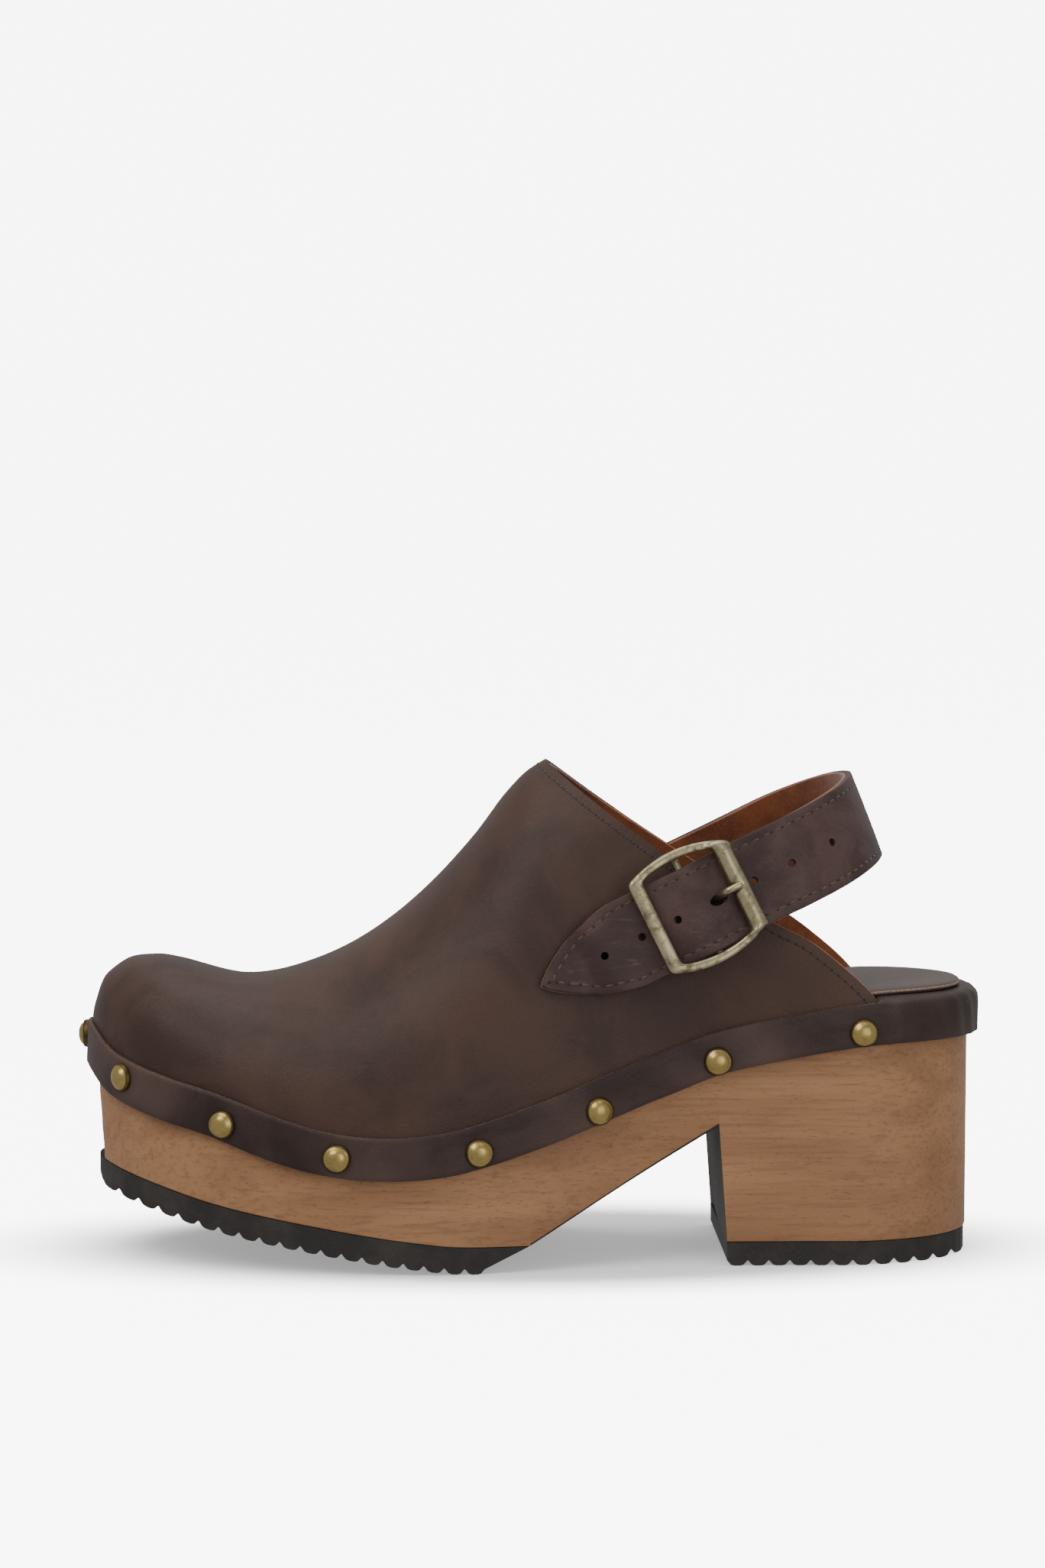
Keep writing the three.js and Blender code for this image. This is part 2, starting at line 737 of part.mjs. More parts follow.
// A round bar across the whole shoe, centred on the strap at station x.
function crossBar(x, radius, sides = 20) {
  const bar = new THREE.CylinderGeometry(radius, radius, 4 * ACROSS, sides);
  return solid(bar.translate(x, 0, strapHeight(x)));
}

// Pointed-arch outline of the strap's tip, as a cutter that keeps what lies inside it.
function tipKeeper() {
  const { tipStation, tipLength, width } = STRAP;
  const half = width / 2 + 0.5;
  const start = new THREE.Vector3(tipStation, 0, strapHeight(tipStation));
  const edge = stations(0, 1, 8).map((u) => [tipLength * u, half * Math.sin((u * Math.PI) / 2) ** 0.75]);
  const far = 60;
  const local = [
    ...edge,
    [far, half],
    [far, -half],
    ...edge.slice(1).reverse().map(([a, b]) => [a, -b]),
  ];
  const side = local.map(([a, b]) => {
    const spot = start.clone().addScaledVector(ALONG, a).addScaledVector(UP_STRAP, b);
    return [spot.x, spot.z];
  });
  return crossPrism(side.reverse(), -ACROSS, 0);
}

// Holes punched along the strap, with a longer one where the prong comes through.
function strapHoles() {
  const { tipStation, firstHole, holePitch, holeCount, holeDiameter } = STRAP;
  return Array.from({ length: holeCount }, (_, i) => {
    const x = tipStation + (firstHole + i * holePitch) * Math.cos(PITCH);
    const bar = new THREE.CylinderGeometry(holeDiameter / 2, holeDiameter / 2, ACROSS, 10);
    const hole = solid(bar.translate(x, -ACROSS / 2 - 5, strapHeight(x)));
    if (Math.abs(x - BUCKLE.station) > BUCKLE.length / 2) return hole;
    const slot = new THREE.BoxGeometry(holeDiameter * 3.8, ACROSS, BUCKLE.prong + 2.8);
    slot.rotateY(-PITCH).translate(x, -ACROSS / 2 - 5, strapHeight(x));
    return hole.add(solid(slot));
  }).reduce((all, hole) => all.add(hole));
}

const HINGE_FIT = 0.5;

// The strap in three lengths, each of leather and lining: the tip end, the heel loop and the sewn end.
function strapPieces() {
  const { hingeStation, width, leather, lining, medialEndStation } = STRAP;
  const disc = width / 2 + 1.2;
  const lateral = routeShare(hingeStation, -1);
  const medial = routeShare(hingeStation, 1);
  const reach = disc / strapRoute.getLength();
  const holes = strapHoles();
  const joint = crossBar(hingeStation, disc + HINGE_FIT);
  const behind = [
    [hingeStation, BELOW],
    [SOLE.length + 20, BELOW],
    [SOLE.length + 20, ABOVE],
    [hingeStation, ABOVE],
  ];
  const loopRegion = crossPrism(behind, -ACROSS, ACROSS).add(crossBar(hingeStation, disc, 24));
  const end = new THREE.CylinderGeometry(width * 0.62, width * 0.62, ACROSS, 20);
  const endX = medialEndStation + width * 0.5;
  const sewnRegion = solid(end.translate(endX, ACROSS / 2, strapHeight(endX)));
  const straight = [
    [endX, BELOW],
    [hingeStation, BELOW],
    [hingeStation, ABOVE],
    [endX, ABOVE],
  ];
  const sewn = sewnRegion.add(crossPrism(straight, 0, ACROSS));
  const layers = { leather: [lining + GLUE, lining + GLUE + leather], lining: [0, lining] };
  return Object.entries(layers).flatMap(([kind, [low, high]]) => {
    const front = strapLayer(0, lateral, low, high, 26);
    const loop = strapLayer(lateral - reach * 1.3, medial + reach * 1.3, low, high, 34);
    const rear = strapLayer(medial, 1, low, high, 12);
    return [
      [`strap_tip_${kind}`, front.intersect(tipKeeper()).subtract(joint).subtract(holes)],
      [`strap_loop_${kind}`, loop.intersect(loopRegion).subtract(holes)],
      [`strap_sewn_${kind}`, rear.intersect(sewn).subtract(joint)],
    ];
  });
}

// ---------------------------------------------------------------- buckle

// The buckle's own frame: x along the strap towards the heel, y up across it, z out from the vamp.
function buckleGroup() {
  const { station } = BUCKLE;
  const spot = strapSpot(station, -1, 0);
  const share = routeShare(station, -1);
  const tangent = new THREE.Vector3()
    .subVectors(strapSpot(station + 12, -1, 0), strapSpot(station - 12, -1, 0))
    .normalize();
  const up = UP_STRAP.clone().applyAxisAngle(tangent, -strapLean(strapRoute.getPoint(share)));
  const out = new THREE.Vector3().crossVectors(tangent, up).normalize();
  const group = new THREE.Group();
  group.quaternion.setFromRotationMatrix(new THREE.Matrix4().makeBasis(tangent, up, out));
  group.position.copy(spot);
  return group;
}

// Outline of the frame: straight bars front and rear, rails that bow outwards between them.
function frameOutline(inset) {
  const { length, width, frontSpan, rearSpan, barFront, barRear, rail } = BUCKLE;
  const front = -length / 2 + inset * barFront;
  const rear = length / 2 - inset * barRear;
  const shape = new THREE.Shape();
  const bow = width / 2 - inset * rail;
  const [f, r] = [frontSpan / 2 - inset * rail * 0.4, rearSpan / 2 - inset * rail * 0.1];
  shape.moveTo(front, -f);
  shape.quadraticCurveTo(0, -2 * bow + (f + r) / 2, rear, -r);
  shape.lineTo(rear, r);
  shape.quadraticCurveTo(0, 2 * bow - (f + r) / 2, front, f);
  shape.closePath();
  return shape;
}

function buckleFrame() {
  const { thickness, frameHeight, pin, pinHeight, width, rail, length, prong } = BUCKLE;
  const plate = (shape, depth, z) => {
    const bevelEnabled = false;
    const geometry = new THREE.ExtrudeGeometry(shape, { depth, bevelEnabled, curveSegments: 10 });
    return solid(geometry.translate(0, 0, z));
  };
  const ring = plate(frameOutline(0), thickness, frameHeight).subtract(
    plate(frameOutline(1), thickness + 2, frameHeight - 1),
  );
  const notch = new THREE.CylinderGeometry(prong * 0.65, prong * 0.65, thickness * 2, 12);
  notch.rotateX(Math.PI / 2).translate(length / 2 - BUCKLE.barRear, 0, frameHeight + thickness);
  const span = width - rail;
  const bar = new THREE.CylinderGeometry(pin / 2, pin / 2, span, 14).translate(0, 0, pinHeight);
  const drop = frameHeight + thickness - pinHeight + pin / 2;
  const lugs = [-1, 1].map((side) => {
    const lug = new THREE.BoxGeometry(2 * pin, rail, drop);
    return solid(lug.translate(0, (side * span) / 2, frameHeight + thickness - drop / 2));
  });
  return lugs.reduce((all, lug) => all.add(lug), ring.subtract(solid(notch)).add(solid(bar)));
}

// Prong: an eye round the centre bar and a pin that rises through the strap and lies on the rear bar.
function buckleProng() {
  const { pin, pinHeight, prong, length, frameHeight, thickness } = BUCKLE;
  const eyeWidth = prong * 1.4;
  const eye = new THREE.CylinderGeometry(pin / 2 + 1.3, pin / 2 + 1.3, eyeWidth, 18);
  const bore = new THREE.CylinderGeometry(pin / 2 + TOUCH, pin / 2 + TOUCH, eyeWidth * 2, 18);
  const rest = frameHeight + thickness + prong / 2 + TOUCH;
  const route = new THREE.CatmullRomCurve3([
    new THREE.Vector3(pin / 2 + 0.6, 0, pinHeight),
    new THREE.Vector3(length * 0.13, 0, pinHeight + 0.5),
    new THREE.Vector3(length * 0.21, 0, lerp(pinHeight, rest, 0.5)),
    new THREE.Vector3(length * 0.285, 0, rest - 0.4),
    new THREE.Vector3(length * 0.35, 0, rest),
    new THREE.Vector3(length * 0.42, 0, rest - 0.1),
  ]);
  const section = new THREE.Shape().absarc(0, 0, prong / 2, 0, 2 * Math.PI);
  const stem = new THREE.ExtrudeGeometry(section, { steps: 16, curveSegments: 4, extrudePath: route });
  return solid(stem)
    .add(solid(eye.translate(0, 0, pinHeight)))
    .subtract(solid(bore.translate(0, 0, pinHeight)));
}

// The form of the vamp with its fit on the outer side, in the frame of a turned group.
function nearVamp(group) {
  group.updateMatrix();
  const turnedBack = group.matrix.clone().invert();
  const form = upperForm(constant(0), 0, VAMP.rearStation + 6).translate(0, -TOUCH, 0);
  return form.transform(turnedBack.elements);
}

// Leather tab folded round the centre bar, pressed to the vamp and sewn to it in front of the bar.
function buckleTab(group) {
  const { pin, pinHeight, tabWidth, tabLength, tabLeather, prong } = BUCKLE;
  const bore = pin / 2 + TOUCH;
  const outer = bore + tabLeather;
  const fold = new THREE.CylinderGeometry(outer, outer, tabWidth, 20).translate(0, 0, pinHeight);
  const low = TOUCH + 0.1;
  const far = low + 1.2;
  const strip = new THREE.Shape();
  strip.moveTo(-tabLength, far);
  strip.lineTo(-1, low);
  strip.lineTo(-1, pinHeight + outer - 0.6);
  strip.quadraticCurveTo(-0.25 * tabLength, low + 2 * tabLeather, -0.5 * tabLength, far + tabLeather);
  strip.lineTo(-tabLength, far + tabLeather);
  const flat = new THREE.ExtrudeGeometry(strip, { depth: tabWidth, bevelEnabled: false, curveSegments: 6 });
  flat.rotateX(Math.PI / 2).translate(0, tabWidth / 2, 0);
  const hole = new THREE.CylinderGeometry(bore, bore, tabWidth * 2, 20).translate(0, 0, pinHeight);
  const slot = new THREE.BoxGeometry(4 * outer, prong * 1.4 + 1.4, 30);
  return solid(fold)
    .add(solid(flat))
    .subtract(solid(hole))
    .subtract(solid(slot.translate(2 * outer - 3, 0, 0)))
    .subtract(nearVamp(group));
}

// ---------------------------------------------------------------- the clog

const places = studPlaces();
const bored = (body) => places.reduce((rest, place) => rest.subtract(studBore(place)), body);

const clog = new THREE.Group();
const shoe = new THREE.Group();
clog.add(shoe);
shoe.add(
  mesh("wood_sole", bored(woodSole()), WOOD),
  mesh("forefoot_tread", forefootTread(), RUBBER),
  mesh("heel_tread", heelTread(), RUBBER),
  mesh("insole_cover", insoleCover(), SOCK),
  mesh("insole_padding", insolePad(), PAD),
  mesh("vamp", bored(vamp()), LEATHER),
  mesh("vamp_lining", vampLining(), LINING),
  mesh("toe_puff", toePuff(), PUFF),
  mesh("welt_band", bored(weltBand()), BAND_LEATHER),
);
places.forEach((place, i) => {
  shoe.add(mesh(`stud_${String(i + 1).padStart(2, "0")}`, stud(place), BRASS));
});
strapPieces().forEach(([name, body]) => {
  shoe.add(mesh(name, body, name.endsWith("lining") ? LINING : STRAP_LEATHER));
});
const buckle = buckleGroup();
buckle.add(
  mesh("buckle_frame", buckleFrame(), BRASS),
  mesh("buckle_prong", buckleProng(), BRASS),
  mesh("buckle_tab", buckleTab(buckle), STRAP_LEATHER),
);
shoe.add(buckle);

// The origin is on the floor, at the middle of the clog's length and width.
clog.updateMatrixWorld(true);
const box = new THREE.Box3().setFromObject(clog, true);
const middle = box.getCenter(new THREE.Vector3());
shoe.position.set(-middle.x, -middle.y, -box.min.z);

export default clog;
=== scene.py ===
"""Looks of a left wooden clog: wooden sole, nailed leather vamp and buckled heel strap."""

import json
import logging
import math
from collections.abc import Callable, Sequence
from dataclasses import dataclass, field
from enum import Enum
from functools import cached_property

import bpy
import numpy as np
from mathutils import Matrix, Vector


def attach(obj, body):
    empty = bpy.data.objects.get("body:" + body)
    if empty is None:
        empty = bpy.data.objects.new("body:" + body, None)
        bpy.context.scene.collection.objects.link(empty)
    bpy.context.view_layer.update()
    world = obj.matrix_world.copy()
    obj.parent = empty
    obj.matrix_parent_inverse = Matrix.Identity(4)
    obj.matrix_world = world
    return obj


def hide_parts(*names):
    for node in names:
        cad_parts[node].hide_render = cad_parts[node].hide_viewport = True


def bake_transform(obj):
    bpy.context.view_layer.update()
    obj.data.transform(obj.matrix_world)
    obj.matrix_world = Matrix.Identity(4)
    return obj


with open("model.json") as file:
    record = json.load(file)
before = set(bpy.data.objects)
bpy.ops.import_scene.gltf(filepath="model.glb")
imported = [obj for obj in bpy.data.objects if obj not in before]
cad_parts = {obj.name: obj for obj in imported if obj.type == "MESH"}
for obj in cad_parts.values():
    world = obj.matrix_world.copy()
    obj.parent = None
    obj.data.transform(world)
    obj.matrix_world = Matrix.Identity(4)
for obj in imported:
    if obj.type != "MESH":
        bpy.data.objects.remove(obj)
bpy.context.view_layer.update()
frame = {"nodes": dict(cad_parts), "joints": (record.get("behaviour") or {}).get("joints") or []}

LOG = logging.getLogger("clog")
MM = 0.001
Points = np.ndarray
Triple = tuple[float, float, float]


# ---------------------------------------------------------------- curves


def smoothstep(x: float, low: float, high: float) -> float:
    """Return a smooth step from 0 at low to 1 at high."""
    t = min(max((x - low) / (high - low), 0.0), 1.0)
    return t * t * (3 - 2 * t)


def lerp(a: float, b: float, t: float) -> float:
    """Return the value a share t of the way from a to b."""
    return a + (b - a) * t


def spline(keys: Sequence[Sequence[float]], steps: int, closed: bool = False, power: float = 0.0) -> Points:
    """Sample a Catmull-Rom curve through key points.

    Args:
        keys: the points that the curve passes through.
        steps: how many steps are taken along the whole curve.
        closed: whether the curve joins its own start.
        power: 0 for even knots, 0.5 for centripetal ones.

    Returns:
        An array of steps + 1 points, or of steps points on a closed curve.
    """
    p = np.asarray(keys, float)
    if closed:
        p = np.vstack([p[-1:], p, p[:2]])
    elif power:
        p = np.vstack([2 * p[:1] - p[1:2], p, 2 * p[-1:] - p[-2:-1]])
    else:
        p = np.vstack([p[:1], p, p[-1:]])
    spans = len(p) - 3
    places = np.arange(steps if closed else steps + 1) * spans / steps
    out = []
    for place in places:
        k = min(int(place), spans - 1)
        t = place - k
        a, b, c, d = p[k : k + 4]
        t0, t1, t2 = (max(np.linalg.norm(q - r), 1e-9) ** power for q, r in ((b, a), (c, b), (d, c)))
        m1 = ((b - a) / t0 - (c - a) / (t0 + t1) + (c - b) / t1) * t1
        m2 = ((c - b) / t1 - (d - b) / (t1 + t2) + (d - c) / t2) * t1
        out.append(
            (2 * t**3 - 3 * t**2 + 1) * b
            + (t**3 - 2 * t**2 + t) * m1
            + (3 * t**2 - 2 * t**3) * c
            + (t**3 - t**2) * m2
        )
    return np.array(out)


def line_through(keys: Sequence[Sequence[float]]) -> Callable[[float], float]:
    """Return a smooth function through (x, value) key points with rising x."""
    line = spline(keys, 400)
    return lambda x: float(np.interp(x, line[:, 0], line[:, 1]))


# ---------------------------------------------------------------- the shoe's lines


@dataclass(frozen=True)
class Lines:
    """Lines of the clog in millimetres, with stations measured from the toe of the wood."""

    length: float = 253.0
    middle: float = 124.93
    tip_offset: float = 7.0
    ball_lateral: float = 48.0
    ball_medial: float = 46.5
    waist_lateral: float = 35.5
    waist_medial: float = 31.0
    heel_half: float = 34.0
    toe_top: float = 65.0
    ball_top: float = 38.4
    heel_top: float = 75.3
    toe_spring: float = 19.0
    tread: float = 7.62
    heel_tread: float = 6.82
    arch_front: float = 124.2
    toe_slant: float = 2.3
    arch_rear: float = 178.2
    arch_top: float = 40.3
    breast_slant: float = 2.5
    toe_height: float = 31.0
    dip_height: float = 31.9
    throat_height: float = 93.4
    throat: float = 129.7
    rear: float = 224.5
    vamp_out: float = 1.54
    band_overlap: float = 1.2
    band_width: float = 12.2

    def place(self, x: float, y: float, z: float) -> Triple:
        """Return a point of the model, in metres, for a station, a width and a height."""
        return ((x - self.middle) * MM, y * MM, z * MM)

    @cached_property
    def outline_keys(self) -> list[Triple]:
        """Key points of the sole's plan outline, from the toe along the outer side and back."""
        lateral, medial, heel = self.ball_lateral, self.ball_medial, self.heel_half
        keys = [
            (0, self.tip_offset),
            (0.012, -0.17 * lateral),
            (0.058, -0.5 * lateral),
            (0.145, -0.77 * lateral),
            (0.25, -0.94 * lateral),
            (0.36, -lateral),
            (0.49, -0.91 * lateral),
            (0.63, -self.waist_lateral),
            (0.79, -heel),
            (0.88, -0.985 * heel),
            (0.955, -0.72 * heel),
            (0.993, -0.3 * heel),
            (0.993, 0.3 * heel),
            (0.955, 0.7 * heel),
            (0.88, 0.97 * heel),
            (0.79, heel),
            (0.64, self.waist_medial),
            (0.5, 0.8 * medial),
            (0.4, 0.945 * medial),
            (0.29, medial),
            (0.16, 0.905 * medial),
            (0.07, 0.735 * medial),
            (0.016, 0.47 * medial),
        ]
        return [(share * self.length, y, 0.0) for share, y in keys]

    @cached_property
    def _edge(self) -> tuple[Points, Points]:
        """Plan outline of the sole's edge and its outward normals, 460 points."""
        base = spline(self.outline_keys, 460, closed=True, power=0.5)[:, :2]
        along = np.roll(base, -1, 0) - np.roll(base, 1, 0)
        along /= np.linalg.norm(along, axis=1)[:, None]
        return base, np.stack([along[:, 1], -along[:, 0]], 1)

    def outline(self, grow: float | Points = 0.0) -> Points:
        """Return the plan outline moved outwards by grow, which may differ from point to point."""
        base, normal = self._edge
        return base + np.reshape(grow, (-1, 1)) * normal

    def half(self, x: float, side: int, grow: float = 0.0) -> float:
        """Return the outline's width coordinate at a station, on the outer (-1) or inner (1) side."""
        points = self.outline(grow)
        low, high = int(points[:, 0].argmin()), int(points[:, 0].argmax())
        if side < 0:
            run = points[low : high + 1] if low < high else np.vstack([points[low:], points[: high + 1]])
        else:
            run = points[high:] if low == 0 else np.vstack([points[high:], points[: low + 1]])
            run = np.vstack([run, points[low : low + 1]])[::-1]
        return float(np.interp(x, run[:, 0], run[:, 1]))

    @cached_property
    def top_edge(self) -> Callable[[float], float]:
        """Height of the sole's top edge at a station."""
        front = [
            (-0.02, 1.12),
            (0, 1),
            (0.03, 0.75),
            (0.087, 0.56),
            (0.146, 0.41),
            (0.22, 0.165),
            (0.272, 0.045),
            (0.324, 0),
        ]
        rear = [
            (0.38, 0.022),
            (0.43, 0.098),
            (0.5, 0.255),
            (0.57, 0.436),
            (0.636, 0.607),
            (0.704, 0.772),
            (0.795, 0.9),
            (0.88, 0.985),
            (1, 1),
            (1.02, 1),
        ]
        keys = [(s * self.length, lerp(self.ball_top, self.toe_top, rise)) for s, rise in front]
        keys += [(s * self.length, lerp(self.ball_top, self.heel_top, rise)) for s, rise in rear]
        return line_through(keys)

    @cached_property
    def underside(self) -> Callable[[float], float]:
        """Height of the wooden underside in front of the arch, at a station."""
        shape = [
            (-0.02, 1.06),
            (0.02, 1),
            (0.14, 0.8),
            (0.3, 0.54),
            (0.55, 0.26),
            (0.75, 0.07),
            (0.88, 0),
            (1.2, 0),
        ]
        return line_through([(s * self.arch_front, self.tread + rise * self.toe_spring) for s, rise in shape])

    def bottom(self, x: float) -> float:
        """Return the height of the wood's underside at any station, arch and heel included."""
        front = self.underside(self.arch_front)
        if x <= self.arch_front:
            return self.underside(x)
        if x <= self.arch_rear:
            return lerp(front, self.arch_top, (x - self.arch_front) / (self.arch_rear - self.arch_front))
        share = min((x - self.arch_rear) / self.breast_slant, 1.0)
        return lerp(self.arch_top, self.heel_tread, share)

    def band_low(self, x: float) -> float:
        """Return the height of the nailed band's lower edge at a station."""
        slope = (self.top_edge(x + 3) - self.top_edge(x - 3)) / 6 * smoothstep(x, -4, 22)
        return self.top_edge(x) + self.band_overlap - self.band_width * math.hypot(1, slope)

    def band_middle(self, x: float) -> float:
        """Return the height of the nailed band's middle at a station."""
        return (self.top_edge(x) + self.band_overlap + self.band_low(x)) / 2

    @cached_property
    def ridge(self) -> Callable[[float], float]:
        """Height of the vamp's ridge over the sole's top edge, at a station."""
        toe = [(-1.6, 0.02), (-0.6, 0.2), (2.5, 0.53), (8.4, 0.82), (15.9, 0.95), (24, 1)]
        instep = [
            (0.33, 0),
            (0.5, 0.19),
            (0.665, 0.43),
            (0.83, 0.73),
            (0.92, 0.92),
            (1, 1),
            (1.2, 1.04),
            (1.8, 0.85),
        ]
        keys = [(x, share * self.toe_height) for x, share in toe]
        keys += [(s * self.throat, lerp(self.dip_height, self.throat_height, rise)) for s, rise in instep]
        return line_through(keys)

    @cached_property
    def collar(self) -> Callable[[float], float]:
        """Height of the collar edge over the floor, at a station."""
        shape = [(0, 1), (0.19, 0.777), (0.351, 0.6), (0.657, 0.313), (0.784, 0.223), (0.92, 0.092), (1, 0)]
        keys = []
        for share, rise in shape:
            x = lerp(self.throat, self.rear, share)
            keys.append((x, self.top_edge(x) + rise * self.throat_height))
        return line_through(keys)

    def arch(self, x: float, angle: float, inset: float = 0.0) -> Triple:
        """Return a point of the vamp's section at a station.

        Args:
            x: station of the section.
            angle: 0 at the outer edge of the sole, pi at its inner edge.
            inset: how far the face lies inside the vamp's outer face.

        Returns:
            The station, width and height in millimetres.
        """
        turn = smoothstep(x, 0, self.throat)
        n = lerp(2.5, 1.95, turn)
        middle = lerp(self.tip_offset, 0, turn)
        side = self.half(x, -1 if angle < math.pi / 2 else 1, self.vamp_out - inset)
        out = abs(math.cos(angle)) ** (2 / n)
        up = max(math.sin(angle), 0.0) ** (2 / n)
        rise = max(self.ridge(x) - inset, 0.5)
        return (x, lerp(middle, side, out), self.top_edge(x) + rise * up)

    def vamp_side(self, x: float, z: float, side: int) -> float:
        """Return the vamp's width coordinate at a station and a height, on one side."""
        turn = smoothstep(x, 0, self.throat)
        n = lerp(2.5, 1.95, turn)
        share = min(max((z - self.top_edge(x)) / self.ridge(x), 0.0), 0.999)
        out = (1 - share**n) ** (1 / n)
        return lerp(lerp(self.tip_offset, 0, turn), self.half(x, side, self.vamp_out), out)


LINES = Lines()


# ---------------------------------------------------------------- mesh work


class Shaping:
    """Modelling steps that the sub-assemblies share."""

    @staticmethod
    def clear() -> None:
        """Deselect every object."""
        bpy.ops.object.select_all(action="DESELECT")

    @staticmethod
    def pick(piece: bpy.types.Object) -> None:
        """Make one object the only selected and the active one."""
        Shaping.clear()
        piece.select_set(True)
        bpy.context.view_layer.objects.active = piece

    @staticmethod
    def sheet(name: str, rows: Points, weld: bool = True) -> bpy.types.Object:
        """Shape a grid primitive into a surface.

        Args:
            name: the piece's name.
            rows: an array of rows of points, in metres.
            weld: whether points that meet are merged, which closes seams and poles.

        Returns:
            The new object, with its normals made consistent.
        """
        count_v, count_u = rows.shape[:2]
        Shaping.clear()
        bpy.ops.mesh.primitive_grid_add(x_subdivisions=count_u - 1, y_subdivisions=count_v - 1, size=2)
        piece = bpy.context.object
        piece.name = name
        piece.data.name = name
        mesh = piece.data
        flat = np.empty(len(mesh.vertices) * 3)
        mesh.vertices.foreach_get("co", flat)
        flat = flat.reshape(-1, 3)
        u = np.rint((flat[:, 0] + 1) / 2 * (count_u - 1)).astype(int)
        v = np.rint((flat[:, 1] + 1) / 2 * (count_v - 1)).astype(int)
        mesh.vertices.foreach_set("co", rows[v, u].astype(np.float32).ravel())
        mesh.update()
        if weld:
            Shaping.mend(piece, bpy.ops.mesh.remove_doubles, threshold=2e-6)
        return piece

    @staticmethod
    def mend(piece: bpy.types.Object, operator: Callable[..., object], **settings: float) -> None:
        """Run a mesh operator on a whole piece and turn its faces outwards."""
        Shaping.pick(piece)
        bpy.ops.object.mode_set(mode="EDIT")
        bpy.ops.mesh.select_all(action="SELECT")
        operator(**settings)
        bpy.ops.mesh.normals_make_consistent(inside=False)
        bpy.ops.object.mode_set(mode="OBJECT")

    @staticmethod
    def apply(piece: bpy.types.Object, kind: str, **settings: object) -> None:
        """Add a modifier with the given settings and apply it."""
        Shaping.pick(piece)
        modifier = piece.modifiers.new(kind.title(), kind)
        for key, value in settings.items():
            setattr(modifier, key, value)
        bpy.ops.object.modifier_apply(modifier=modifier.name)

    @staticmethod
    def smooth(piece: bpy.types.Object, angle: float = 35.0) -> None:
        """Shade a piece smooth, with edges sharper than an angle in degrees kept."""
        Shaping.pick(piece)
        bpy.ops.object.shade_smooth_by_angle(angle=math.radians(angle))

    @staticmethod
    def join(pieces: list[bpy.types.Object], name: str) -> bpy.types.Object:
        """Join pieces into one named object."""
        Shaping.pick(pieces[0])
        for piece in pieces:
            piece.select_set(True)
        bpy.ops.object.join()
        joined = bpy.context.object
        joined.name = name
        joined.data.name = name
        return joined

    @staticmethod
    def copies(template: bpy.types.Object, places: list[Matrix], name: str) -> bpy.types.Object:
        """Copy a template to every place and join the copies.

        Args:
            template: the object that is copied, and then removed.
            places: where each copy goes.
            name: the joined object's name.

        Returns:
            The joined object.
        """
        made = []
        for place in places:
            copy = template.copy()
            copy.data = template.data.copy()
            copy.data.transform(place)
            bpy.context.collection.objects.link(copy)
            made.append(copy)
        bpy.data.objects.remove(template)
        return Shaping.join(made, name)

    @staticmethod
    def dress(piece: bpy.types.Object, *materials: bpy.types.Material) -> None:
        """Give a piece its materials, one for each slot."""
        piece.data.materials.clear()
        for material in materials:
            piece.data.materials.append(material)

    @staticmethod
    def axes(spot: Vector, along: Vector, out: Vector) -> Matrix:
        """Return the placing whose X runs along and whose Z points out, at a spot."""
        x = along.normalized()
        y = out.cross(x).normalized()
        z = x.cross(y).normalized()
        turned = Matrix((x, y, z)).transposed().to_4x4()
        turned.translation = spot
        return turned


def declare(piece: bpy.types.Object, body: str, slot: str, *nodes: str) -> None:
    """Attach a piece to the body that it rides on and hide the nodes that it replaces."""
    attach(piece, body)
    if nodes:
        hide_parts(*nodes)
    LOG.info("%s rides on %s", piece.name, body)


# ---------------------------------------------------------------- shader work


class Reading:
    """A socket's value, on which the usual arithmetic adds Math nodes."""

    def __init__(self, shade: "Shade", socket: bpy.types.NodeSocket) -> None:
        """Wrap a socket of a material's tree."""
        self.shade = shade
        self.socket = socket

    def math(self, operation: str, *others: "Reading | float") -> "Reading":
        """Return a Math node's result, with this value as its first."""
        return self.shade.number(operation, self, *others)

    def __add__(self, other: "Reading | float") -> "Reading":
        """Return the sum."""
        return self.math("ADD", other)

    def __radd__(self, other: float) -> "Reading":
        """Return the sum."""
        return self.math("ADD", other)

    def __sub__(self, other: "Reading | float") -> "Reading":
        """Return the difference."""
        return self.math("SUBTRACT", other)

    def __rsub__(self, other: float) -> "Reading":
        """Return other minus this value."""
        return self.shade.number("SUBTRACT", other, self)

    def __mul__(self, other: "Reading | float") -> "Reading":
        """Return the product."""
        return self.math("MULTIPLY", other)

    def __rmul__(self, other: float) -> "Reading":
        """Return the product."""
        return self.math("MULTIPLY", other)

    def between(self, low: float, high: float) -> "Reading":
        """Return 0 below low, 1 above high and a smooth step between them."""
        settings = {"interpolation_type": "SMOOTHSTEP"}
        values = {"Value": self, "From Min": low, "From Max": high}
        return self.shade.node("ShaderNodeMapRange", settings, values)


